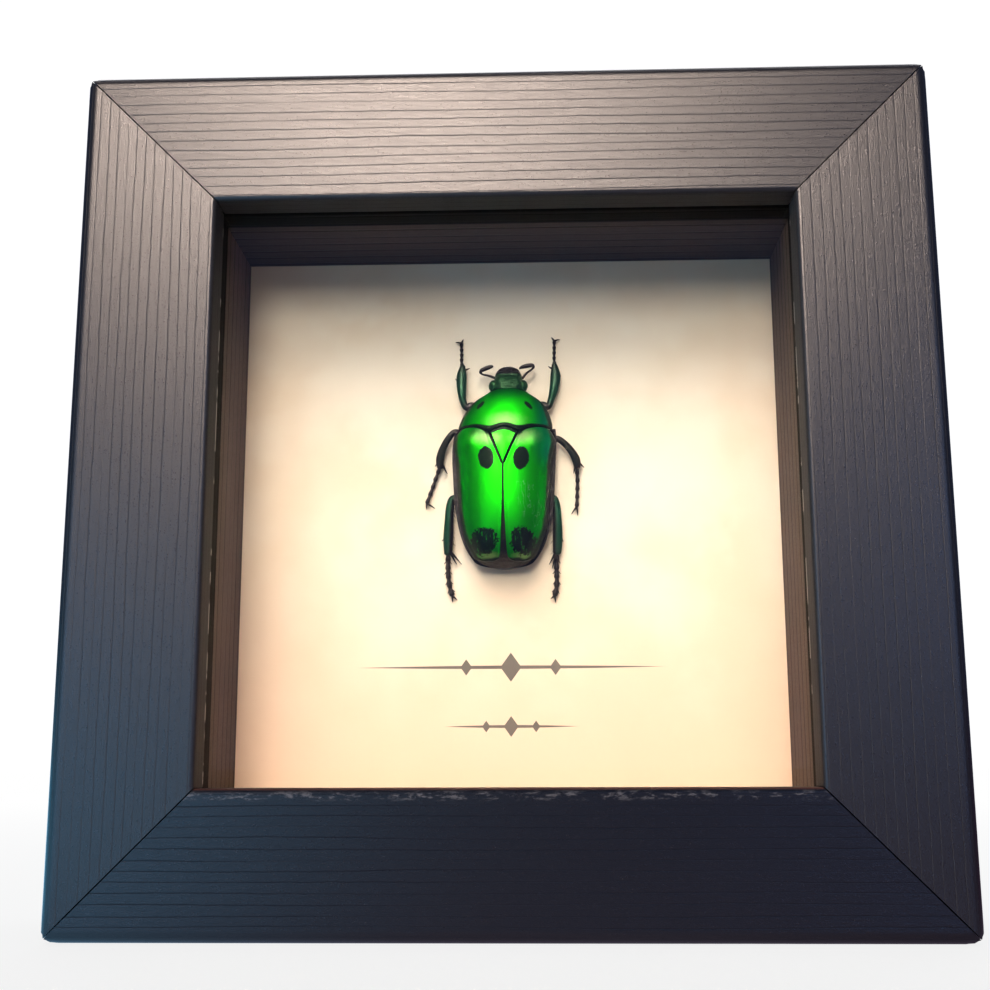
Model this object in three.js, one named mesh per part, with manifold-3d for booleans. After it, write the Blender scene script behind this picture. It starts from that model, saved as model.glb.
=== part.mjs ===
// Framed beetle specimen: a square shadow-box frame of black-stained wood with its glass, a wooden
// spacer lining, a parchment card and one green flower beetle fixed flat on the card.
// Millimetres, +Z up. The frame stands on its bottom rail with the glass facing -Y. The origin is in the
// middle of the footprint, on the surface that the frame stands on.

import * as THREE from "three";
import { mergeVertices } from "three/addons/utils/BufferGeometryUtils.js";
import Module from "manifold-3d";

const wasm = await Module();
wasm.setup();

// Frame
const OUTER = 114; // width and height over the rails
const RAIL_DEPTH = 35; // front face to back face of a rail
const RAIL_WIDTH = 18.4; // outer edge to the edge of the opening
const WALL = 13.7; // rail thickness behind the lip
const LIP_DEPTH = 4.8; // front face to the back of the lip
const EDGE_ROUND = 1.5; // the long edges of the front face
const CORNER_ROUND = 2; // the four outer corners, seen from the front
const MITRE_GAP = 0.12; // dark line at each mitre

// What the rabbet holds, each given by how far its front lies behind the face of the frame
const FIT = 0.1; // play between flat pieces that lie on each other
const SLIP = 0.2; // play between the rabbet wall and what stands in it
const GLASS = { front: LIP_DEPTH + FIT, thick: 2 };
const LINER = { front: 7, step: 9.3, back: 29.3, half: 39.9, stepHalf: 41.6 };
const CARD = { front: 29.4, thick: 1 };
const BOARD = { front: 30.5, thick: 2.5 };
const TAB = { front: 33.1, thick: 0.4, width: 6, length: 9 };

// Hanger on the back of the top rail
const HANGER = { width: 44, height: 8, thick: 0.8, teeth: 15, bite: 1.4, drop: 6.6, hole: 0.8, holeAt: 19 };
const NAIL = { head: 1.7, crown: 1, headThick: 0.5, shank: 0.6 };

// Beetle, in a frame of its own on the card: x to the right, y towards the head, z off the card
const SEAM = 0.35; // the dark joint lines between the plates
const WING_CASE = 0.6; // thickness of a wing case
const CLEAR = 0.15; // between a leg and the plate that it comes out of
const TARSUS_JOINTS = 5;

const half = OUTER / 2;
const rabbetHalf = half - WALL - SLIP;
const fullDepth = RAIL_DEPTH + HANGER.thick + NAIL.headThick;
const lerp = THREE.MathUtils.lerp;
const clamp = THREE.MathUtils.clamp;

// Finishes

const finish = (color, roughness, metalness = 0, more = {}) =>
  new THREE.MeshStandardMaterial({ color, roughness, metalness, ...more });
const stainedWood = finish(0x2a2629, 0.45);
const liningWood = finish(0x4b4239, 0.6);
const clearGlass = finish(0xf4fbf8, 0.03, 0, { transparent: true, opacity: 0.2 });
const parchment = finish(0xf7ecd2, 0.85);
const hardboard = finish(0x6d4d33, 0.8);
const steel = finish(0xb4b2ac, 0.35, 0.9);
const greenShell = finish(0x22c40a, 0.25, 0.6);
const darkShell = finish(0x1c3d24, 0.4, 0.3);
const legShell = finish(0x231a16, 0.4, 0.1);

// Shared shape tools

// A smooth curve through a few [place, value] pairs, read by place.
function through(pairs) {
  const last = pairs.length - 1;
  const slopes = pairs.map((_, i) => {
    const before = pairs[Math.max(i - 1, 0)];
    const after = pairs[Math.min(i + 1, last)];
    return (after[1] - before[1]) / (after[0] - before[0]);
  });
  return (wanted) => {
    const place = clamp(wanted, pairs[0][0], pairs[last][0]);
    let i = 0;
    while (i < last - 1 && place > pairs[i + 1][0]) i++;
    const width = pairs[i + 1][0] - pairs[i][0];
    const t = (place - pairs[i][0]) / width;
    const rise = (3 - 2 * t) * t * t;
    const bend = t * (1 - t) * width * (slopes[i] * (1 - t) - slopes[i + 1] * t);
    return lerp(pairs[i][1], pairs[i + 1][1], rise) + bend;
  };
}

const bell = (distance, reach) => Math.exp(-((distance / reach) ** 2));

// Points and triangles as one closed mesh: doubled points become one, and triangles with no area go.
function weld(points, faces) {
  const loose = new THREE.BufferGeometry();
  loose.setAttribute("position", new THREE.Float32BufferAttribute(points.flat(), 3));
  loose.setIndex(faces.flat());
  const merged = mergeVertices(loose, 1e-3);
  const index = merged.getIndex().array;
  const kept = [];
  for (let i = 0; i < index.length; i += 3) {
    const [a, b, c] = [index[i], index[i + 1], index[i + 2]];
    if (a !== b && b !== c && c !== a) kept.push(a, b, c);
  }
  merged.setIndex(kept);
  return merged;
}

function toSolid(geometry) {
  const bare = geometry.clone();
  bare.deleteAttribute("normal");
  bare.deleteAttribute("uv");
  const merged = mergeVertices(bare, 1e-4);
  return new wasm.Manifold(
    new wasm.Mesh({
      numProp: 3,
      vertProperties: new Float32Array(merged.getAttribute("position").array),
      triVerts: new Uint32Array(merged.getIndex().array),
    }),
  );
}

function toGeometry(solid) {
  const { vertProperties, triVerts } = solid.getMesh();
  const geometry = new THREE.BufferGeometry();
  geometry.setAttribute("position", new THREE.Float32BufferAttribute(vertProperties, 3));
  geometry.setIndex(new THREE.Uint32BufferAttribute(triVerts, 1));
  return geometry;
}

const joined = (geometries) => toGeometry(geometries.map(toSolid).reduce((sum, next) => sum.add(next)));

// A flat outline pushed straight along z. segments is the number of flats in each arc of the outline.
function extruded(outline, depth, segments = 1) {
  return new THREE.ExtrudeGeometry(outline, { depth, bevelEnabled: false, curveSegments: segments });
}

// A closed solid between two sheets over one grid. at(s, t, side) places a point: s runs to the right
// and t towards the head, each 0 to 1, and side is 1 on the upper sheet and 0 on the lower one.
function pillow(across, along, at) {
  const points = [];
  for (const side of [0, 1])
    for (let j = 0; j <= along; j++)
      for (let i = 0; i <= across; i++) points.push(at(i / across, j / along, side));
  const id = (i, j, side) => (side * (along + 1) + j) * (across + 1) + i;
  const faces = [];
  const quad = (a, b, c, d) => faces.push([a, b, c], [a, c, d]);
  for (let j = 0; j < along; j++)
    for (let i = 0; i < across; i++) {
      quad(id(i, j, 1), id(i + 1, j, 1), id(i + 1, j + 1, 1), id(i, j + 1, 1));
      quad(id(i, j, 0), id(i, j + 1, 0), id(i + 1, j + 1, 0), id(i + 1, j, 0));
    }
  for (let i = 0; i < across; i++) {
    quad(id(i, 0, 0), id(i + 1, 0, 0), id(i + 1, 0, 1), id(i, 0, 1));
    quad(id(i + 1, along, 0), id(i, along, 0), id(i, along, 1), id(i + 1, along, 1));
  }
  for (let j = 0; j < along; j++) {
    quad(id(0, j + 1, 0), id(0, j, 0), id(0, j, 1), id(0, j + 1, 1));
    quad(id(across, j, 0), id(across, j + 1, 0), id(across, j + 1, 1), id(across, j, 1));
  }
  return weld(points, faces);
}

// A limb through stations [x, y, z, half width, half thickness]. The width lies along the card.
function limb(stations, sides) {
  const centres = stations.map(([x, y, z]) => new THREE.Vector3(x, y, z));
  const points = [];
  const faces = [];
  centres.forEach((centre, k) => {
    const before = centres[Math.max(k - 1, 0)];
    const after = centres[Math.min(k + 1, centres.length - 1)];
    const along = after.clone().sub(before).normalize();
    const across = along.clone().cross(new THREE.Vector3(0, 0, 1)).normalize();
    const up = across.clone().cross(along);
    for (let i = 0; i < sides; i++) {
      const turn = (2 * Math.PI * i) / sides;
      const point = centre.clone();
      point.addScaledVector(across, stations[k][3] * Math.cos(turn));
      point.addScaledVector(up, stations[k][4] * Math.sin(turn));
      points.push(point.toArray());
    }
  });
  const last = (centres.length - 1) * sides;
  for (let i = 0; i < sides; i++) {
    const next = (i + 1) % sides;
    for (let base = 0; base < last; base += sides) {
      const [a, b] = [base + i, base + next];
      faces.push([a, a + sides, b + sides], [a, b + sides, b]);
    }
    if (i > 0 && next > 0) faces.push([0, i, next], [last, last + next, last + i]);
  }
  return weld(points, faces);
}

// Frame pieces, in the plane of the picture: x right, y up, z towards the viewer, z = 0 on the face

// One rail, along the top. Its section is (inwards from the outer edge, towards the viewer), and its ends
// are drawn in as the section goes inwards, which makes the mitres.
function railGeometry() {
  const section = new THREE.Shape();
  section.moveTo(0, -RAIL_DEPTH);
  section.lineTo(WALL, -RAIL_DEPTH);
  section.lineTo(WALL, -LIP_DEPTH);
  section.lineTo(RAIL_WIDTH, -LIP_DEPTH);
  section.lineTo(RAIL_WIDTH, -EDGE_ROUND);
  section.absarc(RAIL_WIDTH - EDGE_ROUND, -EDGE_ROUND, EDGE_ROUND, 0, Math.PI / 2, false);
  section.lineTo(EDGE_ROUND, 0);
  section.absarc(EDGE_ROUND, -EDGE_ROUND, EDGE_ROUND, Math.PI / 2, Math.PI, false);
  const rail = extruded(section, 1, 5);
  const position = rail.getAttribute("position");
  for (let i = 0; i < position.count; i++) {
    const inwards = position.getX(i);
    const end = 1 - 2 * position.getZ(i);
    position.setXYZ(i, end * (half - inwards - MITRE_GAP), half - inwards, position.getY(i));
  }
  const outline = new THREE.Shape();
  const straight = half - CORNER_ROUND;
  for (const [k, [x, y]] of [[1, 1], [-1, 1], [-1, -1], [1, -1]].entries()) {
    const from = (k * Math.PI) / 2;
    outline.absarc(x * straight, y * straight, CORNER_ROUND, from, from + Math.PI / 2, false);
  }
  const block = extruded(outline, RAIL_DEPTH, 3);
  block.translate(0, 0, -RAIL_DEPTH);
  return toGeometry(toSolid(rail).intersect(toSolid(block)));
}

// A square sheet in the rabbet, such as the glass, the card or the board.
function sheetGeometry({ front, thick }) {
  const sheet = new THREE.BoxGeometry(2 * rabbetHalf, 2 * rabbetHalf, thick);
  return sheet.translate(0, 0, -front - thick / 2);
}

// One spacer strip along the top, halfLength to each side of the middle. A step in its front edge leaves a
// groove between the glass and its inner face.
function linerGeometry(halfLength) {
  const section = new THREE.Shape();
  section.moveTo(rabbetHalf, -LINER.back);
  section.lineTo(rabbetHalf, -LINER.front);
  section.lineTo(LINER.stepHalf, -LINER.front);
  section.lineTo(LINER.stepHalf, -LINER.step);
  section.lineTo(LINER.half, -LINER.step);
  section.lineTo(LINER.half, -LINER.back);
  const strip = extruded(section, 2 * halfLength);
  const position = strip.getAttribute("position");
  for (let i = 0; i < position.count; i++)
    position.setXYZ(i, position.getZ(i) - halfLength, position.getX(i), position.getY(i));
  return strip;
}

// A bendable point along the top: one end in line with the rabbet wall, the other over the board.
function tabGeometry() {
  const outline = new THREE.Shape();
  const [wide, inner] = [TAB.width / 2, rabbetHalf - TAB.length];
  outline.moveTo(wide, rabbetHalf);
  outline.lineTo(-wide, rabbetHalf);
  outline.lineTo(-wide, inner + wide);
  outline.absarc(0, inner + wide, wide, Math.PI, 2 * Math.PI, false);
  return extruded(outline, TAB.thick, 4).translate(0, 0, -TAB.front - TAB.thick);
}

// The hanger: a strip with teeth along its lower edge and a nail hole at each end.
function hangerGeometry() {
  const { width, height, thick, teeth, bite, hole, holeAt } = HANGER;
  const toothed = width - 2 * height;
  const outline = new THREE.Shape();
  outline.moveTo(-width / 2, height / 2);
  outline.lineTo(-width / 2, -height / 2);
  for (let k = 0; k <= teeth; k++) {
    const x = lerp(-toothed / 2, toothed / 2, k / teeth);
    outline.lineTo(x, -height / 2);
    if (k < teeth) outline.lineTo(x + toothed / teeth / 2, -height / 2 + bite);
  }
  outline.lineTo(width / 2, -height / 2);
  outline.lineTo(width / 2, height / 2);
  for (const side of [-1, 1]) {
    const bore = new THREE.Path();
    bore.absarc(side * holeAt, 0, hole, 0, 2 * Math.PI, true);
    outline.holes.push(bore);
  }
  return extruded(outline, thick, 6).translate(0, half - HANGER.drop, -RAIL_DEPTH - thick);
}

// A nail head with the bit of shank that fills the hanger's hole. It lies along +Y, which is turned to
// point away from the rail.
function nailGeometry() {
  const { head, crown, headThick, shank } = NAIL;
  const profile = [
    [0, 0],
    [shank, 0],
    [shank, HANGER.thick],
    [head, HANGER.thick],
    [crown, HANGER.thick + headThick],
    [0, HANGER.thick + headThick],
  ].map(([r, y]) => new THREE.Vector2(r, y));
  const nail = new THREE.LatheGeometry(profile, 12);
  return nail.rotateX(-Math.PI / 2).translate(0, half - HANGER.drop, -RAIL_DEPTH);
}

// Beetle: the rules that its plates share

// The beetle bends a little to its right towards the head.
const spine = (y) => lerp(-0.8, -0.1, THREE.MathUtils.smoothstep(y, 8, 20));

const bodyReach = through([
  [-7.85, 1.6], [-7.7, 2.9], [-7.3, 3.95], [-6.7, 4.55], [-6, 5.05], [-4.9, 5.7], [-3.7, 6.18], [-2.5, 6.55],
  [-0.7, 6.93], [1.4, 7.25], [3.5, 7.42], [5.5, 7.52], [8, 7.65], [10, 7.65], [11.5, 7.5], [12.8, 7],
]); // half width of the body under the wing cases, which is the widest outline
const caseReach = through([
  [-7.85, 1], [-7.7, 2.3], [-7.3, 3.5], [-6.7, 4.2], [-6, 4.7], [-4.9, 5.3], [-3.7, 5.75], [-2.5, 6.1],
  [-0.7, 6.45], [1.4, 6.68], [3.5, 6.82], [5.5, 6.9], [8, 7.1], [9.5, 7.4], [11, 7.4], [12, 6.9],
  [12.8, 6.2],
]); // half width of the wing cases, drawn in behind the shoulders
const ridge = through([
  [-7.85, 4.4], [-7.1, 6], [-5.8, 7.6], [-3.4, 8.9], [0, 9.6], [4, 9.8], [8, 9.6], [11, 9.2], [13, 8.9],
]); // height of the middle of the back
const RIM = 3.8; // height of the edge of the wing cases

// Height of the back over the wing cases and the scutellum, with the shoulder and tail bumps.
function backHeight(across, y) {
  const share = clamp(Math.abs(across) / caseReach(y), 0, 1);
  const dome = (1 - share ** 2.6) ** 0.62;
  const shoulder = 0.45 * bell(Math.abs(across) - 5.2, 1.3) * bell(y - 9.8, 1.5);
  const tail = 0.5 * bell(Math.abs(across) - 3.2, 1.2) * bell(y + 5.6, 1.2);
  return RIM + (ridge(y) - RIM) * dome + (shoulder + tail) * (1 - share ** 6);
}

const shieldReach = through([
  [12, 6.95], [13, 6.95], [14, 6.7], [15.2, 6.2], [16.4, 5.4], [17.2, 4.55], [18, 3.2],
]);
const shieldRidge = through([[11.4, 9], [12.2, 8.9], [13.5, 8.5], [15, 7.9], [17, 6.7], [18.2, 5.6], [19, 4.6]]);
const SHIELD = {
  back: 12.6, // the rear corners
  front: 18, // the front corners
  bulge: 1, // how far the middle of the front edge reaches past them
  rim: 3.3, // height of the side edges
  hood: 0.22, // share of the length that is a thin hood over the body
  shell: 0.8, // thickness of that hood
  edge: 0.4, // thickness of the side edges
  deep: 2.4, // how far the chest reaches below the side edges
};

// The wavy rear edge of the pronotum: a notch over the scutellum and a lobe to each side of it.
const rearEdge = through([[0, 12.1], [0.6, 12], [2.1, 11.45], [3.9, 12.1], [5.3, 12.4], [6.95, 12.6]]);
const shieldBack = (across) => rearEdge(Math.abs(across));

const scutellumReach = through([[6.4, 0.12], [8, 0.78], [9.6, 1.44], [11.3, 2.15]]);
const SCUTELLUM = { tip: 6.4, base: 11.1 };

const WING = { end: -7.2, tipFrom: -6.6, base: 11.05 };

// Rows of a plate are closer together near its two ends, where it turns down.
const eased = (t) => (1 - Math.cos(Math.PI * t)) / 2;

// The front thorax. Its rear rows are a thin hood over the front of the body, and the rest is the chest.
function pronotumGeometry(grow = 0) {
  return pillow(14, 10, (s, t, side) => {
    const share = Math.sin(Math.PI * (s - 0.5));
    const straight = lerp(SHIELD.back - grow, SHIELD.front + grow, eased(t));
    const across = share * (shieldReach(straight) + grow);
    const bulge = SHIELD.bulge * (1 - Math.abs(share) ** 1.6) * t ** 3;
    const y = straight + bulge + (shieldBack(across) - SHIELD.back) * (1 - t) ** 3;
    const dome = (1 - Math.abs(share) ** 2.3) ** 0.7;
    const upper = SHIELD.rim + (shieldRidge(y) - SHIELD.rim) * dome + grow;
    const hood = upper - grow - SHIELD.shell;
    const chest = SHIELD.rim - SHIELD.edge - SHIELD.deep * dome * Math.sin(Math.PI * clamp(t, 0.15, 0.6));
    const lower = (t < SHIELD.hood ? hood : chest) - grow;
    return [spine(y) + across, y, side ? upper : lower];
  });
}

function elytronGeometry(hand) {
  const tip = through([[WING.end, 2.7], [-7, 3.5], [WING.tipFrom, caseReach(WING.tipFrom)]]);
  const outer = (y) => (y < WING.tipFrom ? tip(y) : caseReach(y));
  const seam = through([
    [WING.end, 1.5], [-7, 0.85], [-6.6, 0.55], [-5.8, 0.42], [-3, 0.26], [1, 0.1], [7, 0.1],
  ]);
  const inner = (y) => (y < SCUTELLUM.tip ? seam(y) : Math.max(seam(y), scutellumReach(y) + SEAM / 2));
  return pillow(9, 22, (s, t, side) => {
    const straight = lerp(WING.end, WING.base, eased(t));
    const share = Math.sin((Math.PI / 2) * (hand > 0 ? s : 1 - s));
    const limit = shieldBack(lerp(inner(straight), outer(straight), share)) - SEAM;
    const y = straight + (limit - WING.base) * Math.max(0, 2 * t - 1) ** 4;
    const away = lerp(inner(y), outer(y), share);
    const upper = backHeight(away, y);
    return [spine(y) + hand * away, y, side ? upper : upper - WING_CASE];
  });
}

function scutellumGeometry() {
  return pillow(6, 8, (s, t, side) => {
    const share = 2 * s - 1;
    const straight = lerp(SCUTELLUM.tip, SCUTELLUM.base, t);
    const across = share * (scutellumReach(straight) - SEAM / 4);
    const y = straight + (shieldBack(across) - SEAM - SCUTELLUM.base) * t ** 3;
    const upper = backHeight(across, y) + 0.08 * (1 - share ** 2);
    return [spine(y) + across, y, side ? upper : upper - WING_CASE];
  });
}

const BODY = {
  end: -7.85,
  base: 11.8,
  neck: 0.5, // how much lower the front lies, under the hood
  neckFrom: 10.4, // where it starts to lie lower
  tongue: 0.35, // how far the front edge reaches under the hood
  under: 1.1, // below the outside of the wing cases
  ledge: 2.95, // height of the ledge beside the wing cases
  side: 2.5, // height of the underside at the edge
  belly: 0.25, // height of the underside in the middle
  turn: -5, // where the tail starts to turn up
  lift: 0.8, // how far it turns up
};
const LEDGE = [
  [0.7, 0.4],
  [0.85, 0.1],
]; // [share of the columns, how far inside the edge of the wing case they lie]

// How far out a column of the body lies: under the wing case, at the foot of its edge, or on the ledge.
function bodyColumn(column, y, grow) {
  const [under, foot] = LEDGE;
  const [inner, outer] = [caseReach(y) - under[1], caseReach(y) - foot[1]];
  if (column <= under[0]) return Math.sin((Math.PI / 2) * (column / under[0])) * inner;
  if (column <= foot[0]) return lerp(inner, outer, (column - under[0]) / (foot[0] - under[0]));
  return lerp(outer, bodyReach(y) + grow, (column - foot[0]) / (1 - foot[0]));
}

// Rear thorax and abdomen. Its top follows the wing cases from below, a ledge of it shows along their
// edges, and its tail end shows behind them.
function bodyGeometry(grow = 0) {
  const columns = [-1, -0.85, -0.7, -0.45, -0.2, 0, 0.2, 0.45, 0.7, 0.85, 1];
  return pillow(columns.length - 1, 16, (s, t, side) => {
    const column = columns[Math.round(s * (columns.length - 1))];
    const straight = lerp(BODY.end - grow, BODY.base + grow, eased(t));
    const across = Math.sign(column) * bodyColumn(Math.abs(column), straight, grow);
    const y = straight + (shieldBack(across) + BODY.tongue - BODY.base) * t ** 3;
    const share = across / (bodyReach(y) + grow);
    const ledge = Math.abs(column) > LEDGE[0][0];
    const neck = BODY.neck * clamp(y - BODY.neckFrom, 0, 1);
    const upper = (ledge ? BODY.ledge : backHeight(across, y) - BODY.under) - neck + grow;
    const rise = BODY.lift * clamp((y - BODY.turn) / (BODY.end - BODY.turn), 0, 1) ** 2;
    const lower = BODY.belly + (BODY.side - BODY.belly) * Math.abs(share) ** 3 + rise - grow;
    return [spine(y) + across, y, side ? Math.max(upper, lower) : lower];
  });
}

const headReach = through([[18, 2.7], [19.3, 2.45], [20.4, 2.15], [21.4, 1.9], [22, 1.5], [22.35, 0.9]]);
const headRidge = through([[18, 5.1], [19.8, 4.9], [21.2, 4.1], [21.7, 3.7], [22.35, 3.3]]);
const HEAD = { back: 18.2, front: 22.35, side: 2.6, under: 2.5 };
const EYE = { radius: 0.85, out: 2.15, y: 19.3, z: 3.5 };

function headGeometry() {
  const capsule = pillow(8, 8, (s, t, side) => {
    const share = Math.sin(Math.PI * (s - 0.5));
    const y = lerp(HEAD.back, HEAD.front, t);
    const across = share * headReach(y);
    const dome = Math.sqrt(1 - share ** 4);
    const upper = HEAD.side + (headRidge(y) - HEAD.side) * dome;
    return [spine(y) + across, y, side ? upper : HEAD.under - dome];
  });
  const eyes = [-1, 1].map((hand) => {
    const eye = new THREE.IcosahedronGeometry(EYE.radius, 1);
    return eye.scale(0.9, 1.1, 1).translate(spine(EYE.y) + hand * EYE.out, EYE.y, EYE.z);
  });
  return toGeometry(toSolid(joined([capsule, ...eyes])).subtract(toSolid(pronotumGeometry(SEAM))));
}

// The club at the end of an antenna is three leaves, one over the other.
const LEAF = {
  heights: [2.58, 2.8, 3.02],
  halfWidths: [0.1, 0.26, 0.26, 0.1],
  halfThicks: [0.09, 0.11, 0.13],
};

function antennaGeometry({ stalk, club }) {
  const leaves = LEAF.heights.map((z, k) =>
    limb(club.map(([x, y], i) => [x, y, z, LEAF.halfWidths[i], LEAF.halfThicks[k]]), 6),
  );
  return joined([limb(stalk, 6), ...leaves]);
}

const ANTENNAE = {
  left: {
    stalk: [
      [-2.1, 20.7, 3.1, 0.2, 0.2], [-3, 21.08, 3, 0.18, 0.18], [-3.9, 21.35, 2.85, 0.15, 0.15],
      [-4.3, 21.7, 2.8, 0.2, 0.3],
    ],
    club: [[-4.4, 21.7], [-4, 22.05], [-2.9, 22.5], [-2.4, 22.6]],
  },
  right: {
    stalk: [
      [2, 20.6, 3.1, 0.2, 0.2], [2.6, 21.4, 3, 0.18, 0.18], [3.35, 22, 2.85, 0.15, 0.15],
      [3.7, 22.4, 2.8, 0.2, 0.3],
    ],
    club: [[3.8, 22.4], [3.4, 22.7], [2.2, 22.5], [1.6, 22.25]],
  },
};

// Each leg has its thigh and shin as one run of limb stations, its foot as a route, its claws as two end
// points, and its teeth and spurs as pairs of points.
const LEGS = {
  front_left: {
    shin: [
      [-4.2, 15.6, 1.85, 0.7, 0.45], [-5.5, 16.6, 1.85, 0.75, 0.45],
      [-6.4, 16.6, 1.85, 0.55, 0.45], [-6.95, 17.6, 1.85, 0.5, 0.45],
      [-7.15, 19.5, 1.85, 0.7, 0.45], [-7.15, 21.5, 1.6, 0.75, 0.4], [-7, 23.1, 1.4, 0.4, 0.35],
    ],
    foot: [[-7.05, 22.9, 1.2], [-7.2, 23.9, 0.9], [-7.2, 25.3, 0.75], [-7.25, 26.9, 0.6]],
    claws: [[-8.15, 27.15, 0.35], [-6.95, 27.6, 0.35]],
    spurs: [[[-6.8, 22.4, 1.5], [-5.95, 22.75, 1.4]], [[-7.6, 20.6, 1.6], [-8.1, 21.1, 1.5]]],
  },
  front_right: {
    shin: [
      [3.8, 15.6, 1.85, 0.7, 0.45], [4.8, 16.6, 1.85, 0.75, 0.45], [5.8, 16.6, 1.85, 0.55, 0.45],
      [6.25, 17.6, 1.85, 0.5, 0.45], [6.75, 19.5, 1.85, 0.7, 0.45], [6.95, 21.5, 1.6, 0.75, 0.4],
      [6.8, 23.2, 1.4, 0.4, 0.35],
    ],
    foot: [[6.85, 23, 1.2], [6.8, 24, 0.9], [6.8, 25.4, 0.75], [6.85, 27.1, 0.6]],
    claws: [[6.4, 27.75, 0.35], [7.7, 27.4, 0.35]],
    spurs: [[[6.6, 22.4, 1.5], [5.9, 22.9, 1.4]], [[7.3, 20.9, 1.6], [7.75, 21.4, 1.5]]],
  },
  middle_left: {
    shin: [
      [-5.4, 9.6, 1.85, 0.8, 0.45], [-7.1, 11.9, 1.85, 0.8, 0.45], [-8.1, 12.75, 1.85, 0.5, 0.45],
      [-9.1, 11.8, 1.85, 0.5, 0.45], [-9.95, 10.2, 1.7, 0.55, 0.42], [-10.35, 8.7, 1.5, 0.62, 0.4],
      [-10.3, 7.5, 1.3, 0.5, 0.35],
    ],
    foot: [[-10.35, 7.7, 1.1], [-10.9, 6.3, 0.8], [-11.6, 4.3, 0.65], [-12.35, 2.2, 0.6]],
    claws: [[-12.45, 1.4, 0.35], [-11.15, 1.5, 0.35]],
    spurs: [[[-10.5, 8.4, 1.4], [-11.1, 7.7, 1.3]], [[-10, 7.9, 1.3], [-9.3, 6.6, 1]]],
  },
  middle_right: {
    shin: [
      [4.4, 8.7, 1.85, 0.8, 0.45], [6, 10.8, 1.85, 0.8, 0.45], [7, 11.6, 1.85, 0.5, 0.45],
      [8.2, 10.85, 1.85, 0.5, 0.45], [9.2, 9.7, 1.7, 0.55, 0.42], [9.85, 8.5, 1.5, 0.62, 0.4],
      [10.05, 7.3, 1.3, 0.5, 0.35],
    ],
    foot: [[10, 7.5, 1.1], [10.05, 5.9, 0.8], [10, 3.7, 0.65], [9.9, 1.5, 0.6]],
    claws: [[9.1, 0.5, 0.35], [10.05, 0.3, 0.35]],
    spurs: [[[10.15, 8.2, 1.4], [11.05, 7.3, 1.3]], [[9.75, 7.7, 1.3], [9.5, 6.5, 1]]],
  },
  hind_left: {
    shin: [
      [-4.8, -0.6, 1.5, 0.9, 0.45], [-7, 1.6, 1.85, 0.9, 0.45], [-8.3, 2.7, 1.85, 0.55, 0.45],
      [-8.8, 1.6, 1.85, 0.6, 0.45], [-9, -1, 1.85, 0.65, 0.45], [-9.1, -3.4, 1.6, 0.72, 0.45],
      [-9.1, -5.5, 1.4, 0.6, 0.4],
    ],
    foot: [[-9.1, -5.3, 1.1], [-9.15, -7.6, 0.8], [-8.95, -10, 0.65], [-8.5, -11.6, 0.6]],
    claws: [[-7.8, -12.2, 0.35], [-8.5, -12.5, 0.35]],
    spurs: [
      [[-9.4, -3, 1.6], [-10, -3.6, 1.5]], [[-8.8, -5.3, 1.3], [-7.85, -7, 1]],
      [[-8.8, -5.1, 1.5], [-7.15, -7, 1.2]],
    ],
  },
  hind_right: {
    shin: [
      [2.9, -0.6, 1.5, 0.9, 0.45], [5.2, 1.6, 1.85, 0.9, 0.45], [6.4, 2.6, 1.85, 0.55, 0.45],
      [6.85, 1.5, 1.85, 0.6, 0.45], [7, -1, 1.85, 0.65, 0.45], [7, -3.4, 1.6, 0.72, 0.45],
      [6.9, -5.5, 1.4, 0.6, 0.4],
    ],
    foot: [[6.85, -5.3, 1.1], [6.8, -7.6, 0.8], [6.8, -10.1, 0.65], [6.5, -11.7, 0.6]],
    claws: [[5.9, -12.1, 0.35], [6.6, -12.6, 0.35]],
    spurs: [
      [[7.3, -3.2, 1.6], [7.85, -3.8, 1.5]], [[6.7, -5.3, 1.3], [5.75, -7.1, 1]],
      [[6.8, -5.3, 1.3], [6.15, -7.7, 1]],
    ],
  },
};

const SPUR = 0.2; // half width of a spur or tooth at its root
const CLAW = 0.17; // and of a claw
const POINT = 0.06; // half width at the tip of either
const JOINT = { root: 0.2, end: 0.34, toe: 0.18 }; // half widths along one joint of a foot, and at the toe

const spike = (from, to, root) => limb([[...from, root, root], [...to, POINT, POINT]], 5);

function footGeometry(route) {
  const path = new THREE.CatmullRomCurve3(route.map((point) => new THREE.Vector3(...point)));
  const stations = [];
  for (let k = 0; k < TARSUS_JOINTS; k++)
    for (const [share, thick] of [[0.05, JOINT.root], [0.85, JOINT.end]])
      stations.push([...path.getPointAt((k + share) / TARSUS_JOINTS).toArray(), thick, thick]);
  stations.push([...path.getPointAt(1).toArray(), JOINT.toe, JOINT.toe]);
  return limb(stations, 6);
}

const plates = toSolid(bodyGeometry(CLEAR)).add(toSolid(pronotumGeometry(CLEAR)));

function legGeometry({ shin, foot, claws, spurs }) {
  const toe = foot.at(-1);
  const parts = [limb(shin, 8), footGeometry(foot)];
  parts.push(...claws.map((tip) => spike(toe, tip, CLAW)));
  parts.push(...spurs.map(([from, to]) => spike(from, to, SPUR)));
  return toGeometry(toSolid(joined(parts)).subtract(plates));
}

// The model

function piece(name, geometry, material) {
  const mesh = new THREE.Mesh(geometry, material);
  mesh.name = name;
  return mesh;
}

// The same piece at the four sides of the square, turned from the top one.
function aroundFrame(kind, geometryFor, material) {
  return ["top", "left", "bottom", "right"].map((side, k) => {
    const mesh = piece(`${kind}_${side}`, geometryFor(side), material);
    mesh.rotation.z = (k * Math.PI) / 2;
    return mesh;
  });
}

const picture = new THREE.Group();
picture.rotation.x = Math.PI / 2;
picture.position.set(0, -fullDepth / 2, half);

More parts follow.
